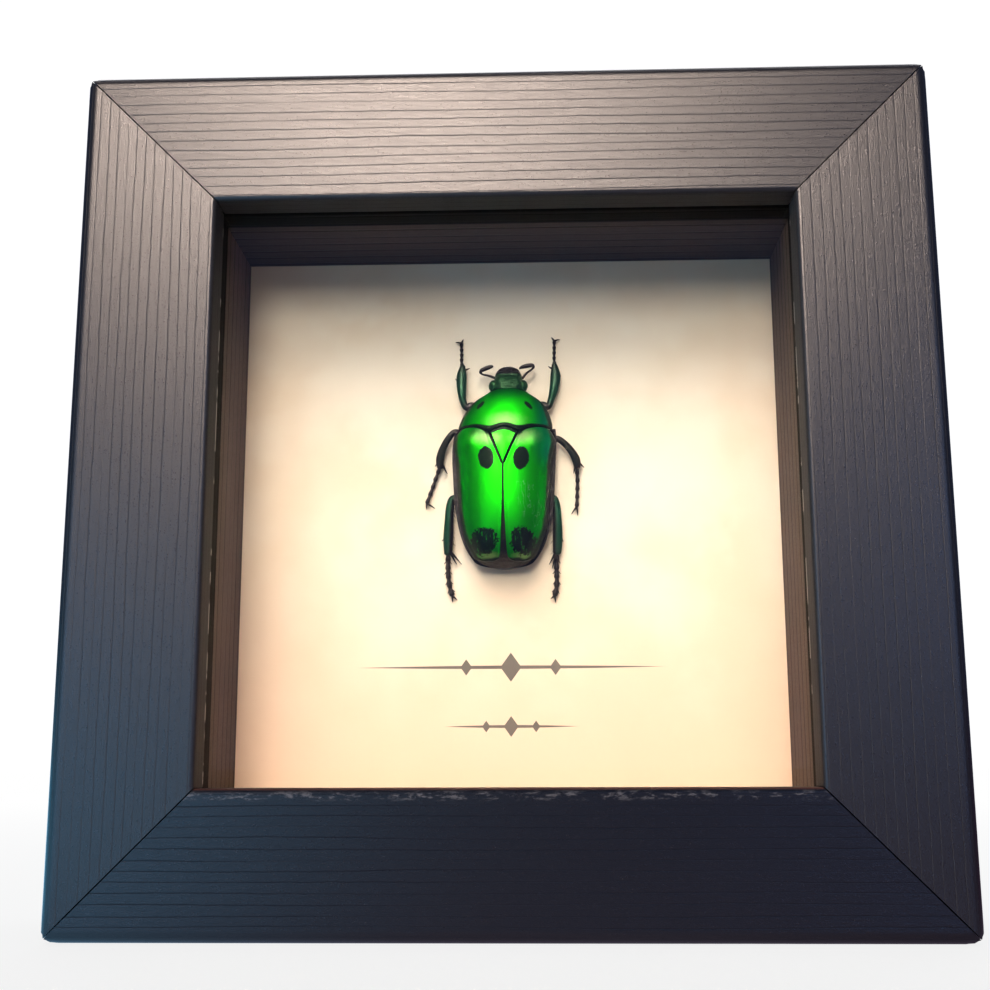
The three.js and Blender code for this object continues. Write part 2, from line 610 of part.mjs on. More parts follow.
const rail = railGeometry();
const tab = tabGeometry();
const between = LINER.half - FIT;
const linerLength = { top: rabbetHalf, bottom: rabbetHalf, left: between, right: between };
picture.add(...aroundFrame("rail", () => rail, stainedWood));
picture.add(piece("glass_pane", sheetGeometry(GLASS), clearGlass));
picture.add(...aroundFrame("liner", (side) => linerGeometry(linerLength[side]), liningWood));
picture.add(piece("card", sheetGeometry(CARD), parchment));
picture.add(piece("back_board", sheetGeometry(BOARD), hardboard));
picture.add(...aroundFrame("tab", () => tab, steel));
picture.add(piece("sawtooth_hanger", hangerGeometry(), steel));
for (const [side, hand] of [["left", -1], ["right", 1]]) {
  const nail = piece(`hanger_nail_${side}`, nailGeometry(), steel);
  nail.position.x = hand * HANGER.holeAt;
  picture.add(nail);
}

const beetle = new THREE.Group();
beetle.position.z = -CARD.front;
beetle.add(piece("head", headGeometry(), darkShell));
beetle.add(piece("pronotum", pronotumGeometry(), greenShell));
beetle.add(piece("scutellum", scutellumGeometry(), greenShell));
beetle.add(piece("elytron_left", elytronGeometry(-1), greenShell));
beetle.add(piece("elytron_right", elytronGeometry(1), greenShell));
beetle.add(piece("body", bodyGeometry(), darkShell));
for (const [side, shape] of Object.entries(ANTENNAE))
  beetle.add(piece(`antenna_${side}`, antennaGeometry(shape), legShell));
for (const [name, shape] of Object.entries(LEGS))
  beetle.add(piece(`leg_${name}`, legGeometry(shape), legShell));
picture.add(beetle);

const model = new THREE.Group();
model.add(picture);

export default model;
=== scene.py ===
# %% [markdown]
# # A framed beetle specimen
# A green flower beetle lies on a parchment card in a square box of black-stained wood, behind glass.
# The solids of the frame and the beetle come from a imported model, which gives every size and place.
# This script gives them their looks: wood with open grain, glass, card, steel, and the polished
# metallic shell of the beetle. All lengths in the script are millimetres until the last step of each
# piece, which turns them into Blender's metres.

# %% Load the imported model
import math

import bmesh
import bpy
from mathutils import Matrix, Vector
from mathutils import noise as ripples


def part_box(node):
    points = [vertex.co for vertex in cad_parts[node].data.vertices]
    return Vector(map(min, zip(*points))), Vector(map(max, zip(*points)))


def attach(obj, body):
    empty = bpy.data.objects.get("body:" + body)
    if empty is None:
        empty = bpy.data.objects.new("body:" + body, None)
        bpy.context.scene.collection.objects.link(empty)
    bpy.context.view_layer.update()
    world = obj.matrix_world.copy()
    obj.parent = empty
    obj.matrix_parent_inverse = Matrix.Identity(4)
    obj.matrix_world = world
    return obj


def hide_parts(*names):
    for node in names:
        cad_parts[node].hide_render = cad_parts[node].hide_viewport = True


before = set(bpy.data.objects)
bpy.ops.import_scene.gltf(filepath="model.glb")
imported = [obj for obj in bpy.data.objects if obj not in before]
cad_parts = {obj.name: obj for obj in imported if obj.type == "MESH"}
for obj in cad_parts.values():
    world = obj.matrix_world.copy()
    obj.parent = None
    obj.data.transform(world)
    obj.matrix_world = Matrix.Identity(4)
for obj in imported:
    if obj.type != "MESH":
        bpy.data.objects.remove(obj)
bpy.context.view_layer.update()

print("nodes in the packed model:", len(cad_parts))

# %% [markdown]
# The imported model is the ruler. Blender measures in metres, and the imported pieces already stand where
# they belong, so their boxes give the face of the frame, the face of the card and the middle of the
# picture. One small function then places a point as it is measured on the card: so far right, so far
# up, and so far above the card.

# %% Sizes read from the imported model
MM = 0.001
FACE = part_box("rail_top")[0].y / MM
CARD_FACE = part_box("card")[0].y / MM
OUTER = (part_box("rail_right")[1].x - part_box("rail_left")[0].x) / MM
HALF = OUTER / 2
MIDDLE = (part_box("rail_top")[1].z / MM) - HALF
RAIL_DEPTH = (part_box("rail_top")[1].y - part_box("rail_top")[0].y) / MM


def on_card(x, y, height):
    return Vector((x, CARD_FACE - height, MIDDLE + y)) * MM


print(f"face at y {FACE:.2f} mm, card at y {CARD_FACE:.2f} mm, middle at z {MIDDLE:.2f} mm")

# %% [markdown]
# Node trees make the materials here, and the shapes that repeat or follow a rule. They are built in
# code, so a few short helpers keep the code readable. `put` adds one node, sets its options, fills its
# inputs with numbers or with other nodes' outputs, and gives back one of its own outputs.

# %% Helpers for node trees
def fill(tree, socket, value):
    if isinstance(value, bpy.types.NodeSocket):
        tree.links.new(value, socket)
    elif value is not None:
        socket.default_value = value


def put(tree, kind, inputs=(), out=0, **options):
    made = tree.nodes.new(kind)
    for name, value in options.items():
        setattr(made, name, value)
    pairs = inputs.items() if isinstance(inputs, dict) else enumerate(inputs)
    for key, value in pairs:
        fill(tree, made.inputs[key], value)
    return made.outputs[out]


def calc(tree, operation, *values):
    return put(tree, "ShaderNodeMath", values, operation=operation)


def step(tree, value, low, high, start=0.0, end=1.0):
    """Goes smoothly from start to end while value goes from low to high."""
    return put(tree, "ShaderNodeMapRange", (value, low, high, start, end), interpolation_type="SMOOTHSTEP")


def blend(tree, share, first, second):
    """A colour between two, first at share 0 and second at share 1."""
    return put(tree, "ShaderNodeMix", {0: share, 6: first, 7: second}, out=2, data_type="RGBA")


def noise(tree, place, scale, detail=2.0, roughness=0.5):
    inputs = {"Vector": place, "Scale": scale, "Detail": detail, "Roughness": roughness}
    return put(tree, "ShaderNodeTexNoise", inputs)


def apart(tree, vector):
    """The three numbers of a vector."""
    split = tree.nodes.new("ShaderNodeSeparateXYZ")
    fill(tree, split.inputs[0], vector)
    return tuple(split.outputs)


def together(tree, x, y, z):
    return put(tree, "ShaderNodeCombineXYZ", (x, y, z))


print("helpers for single nodes are ready")

# %% [markdown]
# A node group keeps nodes that several materials or shapes use, and has named sockets. A material starts
# with one Principled BSDF, whose inputs are then filled. Materials read their place from Object
# coordinates, or from a named attribute where a pattern follows the surface.

# %% Helpers for groups and materials
def new_group(name, kind, inputs, outputs):
    """A node group with named inputs and outputs, given as {name: kind of socket}."""
    tree = bpy.data.node_groups.new(name, kind)
    for direction, sockets in (("INPUT", inputs), ("OUTPUT", outputs)):
        for label, socket in sockets.items():
            tree.interface.new_socket(label, in_out=direction, socket_type="NodeSocket" + socket)
    given = tree.nodes.new("NodeGroupInput").outputs
    wanted = tree.nodes.new("NodeGroupOutput").inputs
    return tree, given, wanted


def use_group(tree, group, **inputs):
    """Places a shader group in a material. Underscores in the names stand for spaces."""
    made = tree.nodes.new("ShaderNodeGroup")
    made.node_tree = group
    for name, value in inputs.items():
        fill(tree, made.inputs[name.replace("_", " ")], value)
    return made.outputs


def new_material(name):
    """A material with an empty Principled BSDF: its tree, and that shader's inputs."""
    material = bpy.data.materials.new(name)
    material.use_nodes = True
    tree = material.node_tree
    return material, tree, tree.nodes["Principled BSDF"].inputs


def object_place(tree):
    return put(tree, "ShaderNodeTexCoord", out="Object")


def attribute(tree, name, out="Vector"):
    return put(tree, "ShaderNodeAttribute", out=out, attribute_name=name)


def bump(tree, height, strength, distance):
    return put(tree, "ShaderNodeBump", {"Height": height, "Strength": strength, "Distance": distance})


print("helpers for groups and materials are ready")

# %% [markdown]
# Open-grained wood shows long dark lines, a little over a millimetre apart, that wander slightly and
# fade in and out, with short fine fibres between them. The same few nodes draw those lines twice: once
# in the shape, where they are cut as shallow grooves, and once in the finish, where stain has gathered
# in them. They read a place on the wood as (along the rail, around its section, which rail).

# %% The lines of open-grained wood, for shapes and for finishes alike
WANDER = 0.9
TREMBLE = 0.22
print(f"a line of the grain wanders {WANDER / 2} mm to each side and trembles {TREMBLE / 2} mm")


def grain_lines(tree, place, spacing, width):
    """1 on a line of the grain and 0 between the lines. place is in millimetres."""
    along, around, which = apart(tree, place)
    seed = calc(tree, "MULTIPLY", which, 37.3)
    slow = together(tree, calc(tree, "MULTIPLY", along, 0.02), calc(tree, "MULTIPLY", around, 0.25), seed)
    wander = calc(tree, "MULTIPLY", calc(tree, "SUBTRACT", noise(tree, slow, 1.0, 1.0), 0.5), WANDER)
    quick = together(tree, calc(tree, "MULTIPLY", along, 0.35), calc(tree, "MULTIPLY", around, 0.8), seed)
    tremble = calc(tree, "MULTIPLY", calc(tree, "SUBTRACT", noise(tree, quick, 1.0, 2.0), 0.5), TREMBLE)
    moved = calc(tree, "ADD", calc(tree, "ADD", around, wander), tremble)
    count = calc(tree, "DIVIDE", moved, spacing)
    nearest = calc(tree, "ROUND", count)
    away = calc(tree, "ABSOLUTE", calc(tree, "MULTIPLY", calc(tree, "SUBTRACT", count, nearest), spacing))
    line = step(tree, away, 0.0, width, 1.0, 0.0)
    own = together(tree, calc(tree, "MULTIPLY", along, 0.02), calc(tree, "MULTIPLY", nearest, 5.71), seed)
    strength = step(tree, noise(tree, own, 1.0, 2.0), 0.28, 0.56, 0.25, 1.0)
    return calc(tree, "MULTIPLY", line, strength)


def fibre_place(tree, place, stretch):
    """A place drawn out along the grain, for noise that looks like fibres."""
    along, around, which = apart(tree, place)
    return together(tree, calc(tree, "DIVIDE", along, stretch), around, calc(tree, "MULTIPLY", which, 11.9))


# %% [markdown]
# Every length of wood in the frame is one moulding: a section pushed along a straight line. The four
# rails meet in mitres and their outer corners are rounded; the four strips that line the box have
# square ends. Geometry Nodes suit this, because the shape follows a rule. The section comes in as a
# ring of points, which carry how far they are around it. The tree sweeps the ring, draws the ends in
# for the mitre, rounds the corners, cuts the grain, and turns the piece to its side of the square.

# %% Inputs of the tree that makes a moulding
MOULDING_INPUTS = {
    "Section": "Geometry", "Half Length": "Float", "Corner": "Float", "Mitred": "Float", "Gap": "Float",
    "Corner Round": "Float", "Stations": "Int", "Line Spacing": "Float", "Line Width": "Float",
    "Line Depth": "Float", "Which": "Float", "Turn": "Float", "Wood": "Material",
}
moulding, given, wanted = new_group("moulding", "GeometryNodeTree", MOULDING_INPUTS, {"Piece": "Geometry"})


def kept(tree, geometry, value, kind="FLOAT"):
    """Captures a value on a geometry, so that it can still be read after the sweep."""
    made = tree.nodes.new("GeometryNodeCaptureAttribute")
    made.capture_items.new(kind, "kept")
    made.domain = "POINT"
    fill(tree, made.inputs[0], geometry)
    fill(tree, made.inputs[1], value)
    return made.outputs[0], made.outputs[1]


def stored(tree, geometry, name, value):
    """Stores a vector on every point under a name that a material can read."""
    made = tree.nodes.new("GeometryNodeStoreNamedAttribute")
    made.data_type = "FLOAT_VECTOR"
    made.domain = "POINT"
    fill(tree, made.inputs["Geometry"], geometry)
    fill(tree, made.inputs["Name"], name)
    fill(tree, made.inputs["Value"], value)
    return made.outputs[0]


print("inputs of the moulding tree:", len(MOULDING_INPUTS))

# %% [markdown]
# The sweep runs along a straight line from -1 to 1, and each point's share of it is then multiplied by
# how far the wood reaches there: less at the inner edge than at the outer one where the ends are
# mitred. The outer corners are rounded in the same plane, and the grain is cut along the normals.

# %% The sweep, the mitre and the rounded corners
def sweep(tree, given):
    """Pushes the section along a line and gives each point its place along, inwards and forwards."""
    ring = put(tree, "GeometryNodeMeshToCurve", (given["Section"],))
    ring, section = kept(tree, ring, put(tree, "GeometryNodeInputPosition"), "VECTOR")
    line = put(tree, "GeometryNodeCurvePrimitiveLine", {"Start": (-1, 0, 0), "End": (1, 0, 0)})
    line = put(tree, "GeometryNodeResampleCurve", {"Curve": line, "Count": given["Stations"]})
    line, share = kept(tree, line, apart(tree, put(tree, "GeometryNodeInputPosition"))[0])
    mesh = put(tree, "GeometryNodeCurveToMesh", {"Curve": line, "Profile Curve": ring, "Fill Caps": True})
    inward, forward, _ = apart(tree, section)
    to_mitre = calc(tree, "SUBTRACT", calc(tree, "SUBTRACT", given["Corner"], inward), given["Gap"])
    spread = calc(tree, "SUBTRACT", to_mitre, given["Half Length"])
    reach = calc(tree, "MULTIPLY_ADD", spread, given["Mitred"], given["Half Length"])
    return mesh, calc(tree, "MULTIPLY", share, reach), inward, forward


def rounded(tree, given, x, up):
    """Brings points that lie in an outer corner onto its round."""
    straight = calc(tree, "SUBTRACT", given["Corner"], given["Corner Round"])
    past_x = calc(tree, "MAXIMUM", calc(tree, "SUBTRACT", calc(tree, "ABSOLUTE", x), straight), 0.0)
    past_up = calc(tree, "MAXIMUM", calc(tree, "SUBTRACT", up, straight), 0.0)
    squares = calc(
        tree, "ADD", calc(tree, "MULTIPLY", past_x, past_x), calc(tree, "MULTIPLY", past_up, past_up)
    )
    distance = calc(tree, "MAXIMUM", calc(tree, "SQRT", squares), given["Corner Round"])
    shrink = calc(tree, "DIVIDE", given["Corner Round"], distance)
    side = calc(tree, "SIGN", x)
    new_x = calc(tree, "MINIMUM", calc(tree, "ABSOLUTE", x), straight)
    new_x = calc(tree, "MULTIPLY", calc(tree, "MULTIPLY_ADD", past_x, shrink, new_x), side)
    new_up = calc(tree, "MULTIPLY_ADD", past_up, shrink, calc(tree, "MINIMUM", up, straight))
    return new_x, new_up


mesh, along, inward, forward = sweep(moulding, given)
up = calc(moulding, "SUBTRACT", given["Corner"], inward)
new_x, new_up = rounded(moulding, given, along, up)
in_corner = together(moulding, new_x, new_up, forward)
mesh = put(moulding, "GeometryNodeSetPosition", {"Geometry": mesh, "Position": in_corner})
print("nodes that sweep and round a moulding:", len(moulding.nodes))

# %% [markdown]
# The wood's own places are stored on the points for the finish, the grain is cut, and the length of
# wood is turned to its side of the square and stood upright in Blender's metres.

# %% The cut of the grain and the turn to its side
RIPPLE = -0.4
around = put(moulding, "GeometryNodeInputNamedAttribute", {"Name": "around"}, data_type="FLOAT")
grain_place = together(moulding, along, around, given["Which"])
mesh = stored(moulding, mesh, "grain_place", grain_place)
mesh = stored(moulding, mesh, "section_place", together(moulding, inward, forward, along))
lines = grain_lines(moulding, grain_place, given["Line Spacing"], given["Line Width"])
ripple = calc(moulding, "SUBTRACT", noise(moulding, fibre_place(moulding, grain_place, 14.0), 1.6, 2.0), 0.5)
depth = calc(moulding, "MULTIPLY_ADD", ripple, RIPPLE, lines)
cut = calc(moulding, "MULTIPLY", depth, calc(moulding, "MULTIPLY", given["Line Depth"], -1.0))
outward = put(moulding, "GeometryNodeInputNormal")
offset = put(moulding, "ShaderNodeVectorMath", {0: outward, "Scale": cut}, operation="SCALE")
mesh = put(moulding, "GeometryNodeSetPosition", {"Geometry": mesh, "Offset": offset})
turned = together(moulding, 0.0, 0.0, given["Turn"])
mesh = put(moulding, "GeometryNodeTransform", {"Geometry": mesh, "Rotation": turned})
upright = {"Geometry": mesh, "Translation": (0, FACE, MIDDLE), "Rotation": (math.pi / 2, 0, 0)}
mesh = put(moulding, "GeometryNodeTransform", upright)
mesh = put(moulding, "GeometryNodeTransform", {"Geometry": mesh, "Scale": (MM, MM, MM)})
mesh = put(moulding, "GeometryNodeRealizeInstances", (mesh,))
mesh = put(moulding, "GeometryNodeSetMaterial", {"Geometry": mesh, "Material": given["Wood"]})
fill(moulding, wanted["Piece"], mesh)
print("nodes in the moulding tree:", len(moulding.nodes))

# %% [markdown]
# A few helpers finish any piece. One freezes what the modifiers make, so that a plain mesh is left. One
# runs a tree on a base mesh and freezes the result.

# %% Helpers that make and finish a piece
def outwards(mesh):
    """Joins doubled points and turns every face of a closed mesh outwards."""
    work = bmesh.new()
    work.from_mesh(mesh)
    bmesh.ops.remove_doubles(work, verts=work.verts, dist=0.0005 * MM)
    bmesh.ops.recalc_face_normals(work, faces=work.faces)
    work.to_mesh(mesh)
    work.free()


def smooth(mesh, sharp=40):
    mesh.shade_smooth()
    mesh.set_sharp_from_angle(angle=math.radians(sharp))


def frozen(model):
    """Turns what an object's modifiers make into its own plain mesh, and removes them."""
    seen = bpy.context.evaluated_depsgraph_get()
    mesh = bpy.data.meshes.new_from_object(
        model.evaluated_get(seen), preserve_all_data_layers=True, depsgraph=seen
    )
    model.modifiers.clear()
    model.data = mesh
    mesh.name = model.name
    return model


def grown(name, base, tree, **inputs):
    """Runs a Geometry Nodes tree on a base mesh and gives the result as a plain mesh object."""
    model = bpy.data.objects.new(name, base)
    bpy.context.scene.collection.objects.link(model)
    modifier = model.modifiers.new("shape", "NODES")
    modifier.node_group = tree
    sockets = {item.name: item.identifier for item in tree.interface.items_tree if item.in_out == "INPUT"}
    for label, value in inputs.items():
        modifier[sockets[label.replace("_", " ")]] = value
    return frozen(model)


def wear_finish(piece, finish):
    """Gives a piece its material, and no other."""
    piece.data.materials.clear()
    piece.data.materials.append(finish)
    return piece


def settle(piece, slot, *nodes):
    """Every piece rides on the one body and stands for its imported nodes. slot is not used."""
    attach(piece, "root")
    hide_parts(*nodes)
    return piece


print("packed pieces that wait for a finish:", len(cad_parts))

# %% [markdown]
# The wood is stained black and left with a thin satin coat. Its colour is almost black with a hint of
# violet, and what the eye sees is the sheen: soft and broad on the flats, broken by the fibres, and
# absent in the grain lines. The group below reads the same place on the wood as the shape did, so the
# dark lines fall in the cut grooves. It gives only colours, masks and a height, and each wooden
# material mixes them in its own way.

# %% A shader group for stained, open-grained wood
WOOD_INPUTS = {"Place": "Vector", "Spacing": "Float", "Width": "Float"}
WOOD_OUTPUTS = {"Lines": "Float", "Fibre": "Float", "Height": "Float"}
wood_grain, given, wanted = new_group("wood grain", "ShaderNodeTree", WOOD_INPUTS, WOOD_OUTPUTS)
lines = grain_lines(wood_grain, given["Place"], given["Spacing"], given["Width"])
long_fibre = noise(wood_grain, fibre_place(wood_grain, given["Place"], 9.0), 5.0, 3.0, 0.6)
short_fibre = noise(wood_grain, fibre_place(wood_grain, given["Place"], 3.0), 11.0, 2.0, 0.6)
fibre = calc(wood_grain, "MULTIPLY_ADD", short_fibre, 0.6, calc(wood_grain, "MULTIPLY", long_fibre, 0.4))
height = calc(wood_grain, "MULTIPLY_ADD", lines, -0.8, fibre)
fill(wood_grain, wanted["Lines"], lines)
fill(wood_grain, wanted["Fibre"], fibre)
fill(wood_grain, wanted["Height"], height)
print("nodes in the wood group:", len(wood_grain.nodes))

# %% [markdown]
# The rails' own finish. The stain leaves the wood nearly black, and the sheen of the thin coat makes the
# fibres visible. Years of handling have rubbed the inner front edge of the bottom rail, so a strip there
# shows pale specks. A thin red line on that rail's inner edge is a painted reflection of the card. A thin
# broken painted highlight marks where the glass meets the lip at the left and the right.

# %% Black-stained wood, for the rails
SIDES = ("top", "left", "bottom", "right")
RAIL_NUMBER = {name: k + 1.0 for k, name in enumerate(SIDES)}
RAIL_LINES = {"Spacing": 1.3, "Width": 0.065}
STAIN_DEEP = (0.0035, 0.003, 0.0045, 1)
STAIN_THIN = (0.009, 0.0075, 0.0095, 1)
STAIN_IN_LINES = (0.0008, 0.0008, 0.0014, 1)
RUBBED_PALE = (0.2, 0.18, 0.19, 1)
RUBBED_AT = 17.5
CARD_REFLECTION_RED = (0.09, 0.022, 0.012, 1)
PAINTED_GLINT_GREY = (0.4, 0.38, 0.36, 1)
stained_wood, tree, shader = new_material("stained wood")
place = attribute(tree, "grain_place")
grain = use_group(tree, wood_grain, Place=place, **RAIL_LINES)
inward, forward, along = apart(tree, attribute(tree, "section_place"))
_, _, which = apart(tree, place)
colour = blend(tree, step(tree, grain["Fibre"], 0.36, 0.64), STAIN_DEEP, STAIN_THIN)
colour = blend(tree, calc(tree, "MULTIPLY", grain["Lines"], 0.85), colour, STAIN_IN_LINES)

at_bottom = calc(tree, "COMPARE", which, RAIL_NUMBER["bottom"], 0.1)
from_strip = calc(tree, "ABSOLUTE", calc(tree, "SUBTRACT", inward, RUBBED_AT))
patchy = step(tree, noise(tree, fibre_place(tree, place, 3.0), 2.2, 4.0, 0.65), 0.5, 0.66)
rubbed = calc(tree, "MULTIPLY", step(tree, from_strip, 0.15, 0.8, 1.0, 0.0), patchy)
rubbed = calc(tree, "MULTIPLY", rubbed, at_bottom)
colour = blend(tree, calc(tree, "MULTIPLY", rubbed, 0.7), colour, RUBBED_PALE)
# painted reflection: a thin red line on the bottom rail's inner front edge stands for the card mirrored there
card_reflection_edge = calc(tree, "MULTIPLY", step(tree, inward, 18.1, 18.3), step(tree, forward, -1.4, -0.9))
colour = blend(tree, calc(tree, "MULTIPLY", card_reflection_edge, at_bottom), colour, CARD_REFLECTION_RED)

# painted highlight: a broken pale line where the glass meets the lip, on the left and right rails
from_bottom = calc(tree, "ABSOLUTE", calc(tree, "SUBTRACT", which, RAIL_NUMBER["bottom"]))
at_sides = calc(tree, "COMPARE", from_bottom, 1.0, 0.1)
at_glass = calc(tree, "MULTIPLY", step(tree, forward, -4.4, -4.5), step(tree, inward, 18.2, 18.35))
broken = step(tree, noise(tree, together(tree, along, 0.0, which), 0.16, 3.0, 0.7), 0.5, 0.56)
painted_glint = calc(tree, "MULTIPLY", calc(tree, "MULTIPLY", at_glass, broken), at_sides)
colour = blend(tree, painted_glint, colour, PAINTED_GLINT_GREY)
fill(tree, shader["Base Color"], colour)

rough = step(tree, grain["Fibre"], 0.3, 0.7, 0.37, 0.26)
inside_lip = calc(tree, "MULTIPLY", step(tree, inward, 18.0, 18.3), 0.4)
rough = calc(tree, "MULTIPLY_ADD", grain["Lines"], 0.3, calc(tree, "ADD", rough, inside_lip))
fill(tree, shader["Roughness"], rough)
shader["Specular IOR Level"].default_value = 0.72
fill(tree, shader["Normal"], bump(tree, grain["Height"], 0.4, 0.0001))
print("material:", stained_wood.name)

# %% [markdown]
# The section of a rail is flat faced, with softly rounded edges, a lip in front of the glass and a
# rabbet behind it. A drawn outline has few points, and a cut grain needs many, so each straight side is
# divided by its own step: fine on the face, coarser on the sides, and coarse where nobody looks.

# %% The section of a rail
RAIL_WIDTH = 18.4
WALL = 13.7
LIP_DEPTH = 4.8
EDGE_ROUND = 1.5
INNER_ROUND = 0.6
CORNER_ROUND = 2.0
MITRE_GAP = 0.12


def side(start, end, pace):
    """Points from start up to, but without, end, about pace apart."""
    count = max(1, round(math.dist(start, end) / pace))
    return [tuple(a + (b - a) * i / count for a, b in zip(start, end)) for i in range(count)]


def bend(middle, radius, start, turn, pieces):
    """Points along a round, angles in degrees, without its last point."""
    angles = [math.radians(start + turn * i / pieces) for i in range(pieces)]
    return [(middle[0] + radius * math.cos(a), middle[1] + radius * math.sin(a)) for a in angles]


def section_mesh(name, points):
    """A closed ring of points that carry how far around the section they are."""
    ring = bpy.data.meshes.new(name)
    count = len(points)
    ring.from_pydata([(x, y, 0) for x, y in points], [(i, (i + 1) % count) for i in range(count)], [])
    around = ring.attributes.new("around", "FLOAT", "POINT")
    total = 0.0
    for i in range(count):
        around.data[i].value = total
        total += math.dist(points[i], points[(i + 1) % count])
    return ring


def rail_section():
    inner = RAIL_WIDTH - INNER_ROUND
    return (
        side((0, -RAIL_DEPTH), (0, -EDGE_ROUND), 0.25)
        + bend((EDGE_ROUND, -EDGE_ROUND), EDGE_ROUND, 180, -90, 10)
        + side((EDGE_ROUND, 0), (inner, 0), 0.12)
        + bend((inner, -INNER_ROUND), INNER_ROUND, 90, -90, 6)
        + side((RAIL_WIDTH, -INNER_ROUND), (RAIL_WIDTH, -LIP_DEPTH), 0.2)
        + side((RAIL_WIDTH, -LIP_DEPTH), (WALL, -LIP_DEPTH), 0.8)
        + side((WALL, -LIP_DEPTH), (WALL, -RAIL_DEPTH), 1.5)
        + side((WALL, -RAIL_DEPTH), (0, -RAIL_DEPTH), 0.5)
    )


section = section_mesh("rail section", rail_section())
print("points around a rail:", len(section.vertices))

# %% [markdown]
# One tree run four times gives the four rails. Each run gets its own number, which moves the grain, and
# its own turn around the middle of the picture. The grain is cut only as deep as a hair is thick.

# %% The four rails
GRAIN_DEPTH = 0.012
rails = {}
for k, name in enumerate(SIDES):
    rail = grown(
        f"wood_rail_{name}", section, moulding, Corner=HALF, Mitred=1.0, Gap=MITRE_GAP, Stations=110,
        Corner_Round=CORNER_ROUND, Line_Spacing=RAIL_LINES["Spacing"], Line_Width=RAIL_LINES["Width"],
        Line_Depth=GRAIN_DEPTH, Which=RAIL_NUMBER[name], Turn=k * math.pi / 2, Wood=stained_wood,
    )
    outwards(rail.data)
    smooth(rail.data)
    settle(rail, "stained_wood", f"rail_{name}")
    rails[name] = rail
    print(rail.name, len(rail.data.polygons), "faces")

# %% [markdown]
# The strips inside the box are a plain brown wood with a few dark lines, left matt. The top strip is painted
# darker, as painted shade of the lip. The front few millimetres of all four are painted black, as painted
# shade behind the lip.

# %% Lining wood, for the strips inside the box
LINING_LINES = {"Spacing": 2.6, "Width": 0.32}
STRIP_NUMBER = {name: k + 11.0 for k, name in enumerate(SIDES)}
LINING_DEEP = (0.055, 0.034, 0.027, 1)
LINING_THIN = (0.09, 0.058, 0.047, 1)
LINING_TOP_SHADE = (0.01, 0.009, 0.009, 1)
LINING_IN_LINES = (0.006, 0.004, 0.004, 1)
GROOVE_SHADE_BLACK = (0.0015, 0.0012, 0.0012, 1)
lining_wood, tree, shader = new_material("lining wood")
place = attribute(tree, "grain_place")
grain = use_group(tree, wood_grain, Place=place, **LINING_LINES)
_, _, which = apart(tree, place)
colour = blend(tree, step(tree, grain["Fibre"], 0.3, 0.7), LINING_DEEP, LINING_THIN)
# painted shade: the top strip is painted darker, for the shade of the lip
at_top = calc(tree, "COMPARE", which, STRIP_NUMBER["top"], 0.1)
colour = blend(tree, calc(tree, "MULTIPLY", at_top, 0.6), colour, LINING_TOP_SHADE)
colour = blend(tree, calc(tree, "MULTIPLY", grain["Lines"], 0.9), colour, LINING_IN_LINES)
_, forward, _ = apart(tree, attribute(tree, "section_place"))
# painted shade: the front of the strips' walls, behind the lip, is painted black
groove_shade = step(tree, forward, -13.8, -13.4)
colour = blend(tree, groove_shade, colour, GROOVE_SHADE_BLACK)
fill(tree, shader["Base Color"], colour)
rough = step(tree, grain["Fibre"], 0.3, 0.7, 0.62, 0.5)
fill(tree, shader["Roughness"], calc(tree, "MULTIPLY_ADD", groove_shade, 0.3, rough))
shader["Specular IOR Level"].default_value = 0.12
fill(tree, shader["Normal"], bump(tree, grain["Height"], 0.5, 0.0001))
print("material:", lining_wood.name)

# %% [markdown]
# The strips keep the glass away from the card. Their front edge is stepped. The narrow black groove seen
# behind the lip is painted shade on the front of their walls. Top and bottom run through, and the sides stand
# between them.

# %% The strips that line the box
LINING = {
    "front": 7.0, "step": 9.3, "back": 29.3, "wall": 39.9, "step_wall": 41.6, "rabbet": 43.1, "edge": 0.25,
}
LINING_GRAIN_DEPTH = 0.04


def lining_section():
    """Drawn as (inwards from the rabbet wall, towards the viewer)."""
    inner = LINING["rabbet"] - LINING["wall"]
    step_in = LINING["rabbet"] - LINING["step_wall"]
    edge = LINING["edge"]
    return (
        side((0, -LINING["back"]), (0, -LINING["front"]), 1.5)
        + side((0, -LINING["front"]), (step_in, -LINING["front"]), 0.3)
        + side((step_in, -LINING["front"]), (step_in, -LINING["step"]), 0.3)
        + side((step_in, -LINING["step"]), (inner - edge, -LINING["step"]), 0.3)
        + bend((inner - edge, -LINING["step"] - edge), edge, 90, -90, 5)
        + side((inner, -LINING["step"] - edge), (inner, -LINING["back"]), 0.2)
        + side((inner, -LINING["back"]), (0, -LINING["back"]), 0.6)
    )


section = section_mesh("lining section", lining_section())
PLAY = 0.1
for k, name in enumerate(SIDES):
    long = LINING["rabbet"] if name in ("top", "bottom") else LINING["wall"] - PLAY
    strip = grown(
        f"lining_{name}", section, moulding, Half_Length=long, Corner=LINING["rabbet"], Mitred=0.0, Gap=0.0,
        Stations=70, Corner_Round=0.0, Line_Spacing=LINING_LINES["Spacing"], Line_Width=LINING_LINES["Width"],
        Line_Depth=LINING_GRAIN_DEPTH, Which=STRIP_NUMBER[name], Turn=k * math.pi / 2, Wood=lining_wood,
    )
    outwards(strip.data)
    smooth(strip.data)
    settle(strip, "lining_wood", f"liner_{name}")
    print(strip.name, len(strip.data.polygons), "faces")

# %% [markdown]
# The glass is one flat pane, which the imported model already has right, so it keeps that shape. Glass
# for pictures is coated to mirror little, which the low specular level stands for. Rays towards a lamp
# pass it straight, so that the box behind it is lit; that takes the place of slow caustics.

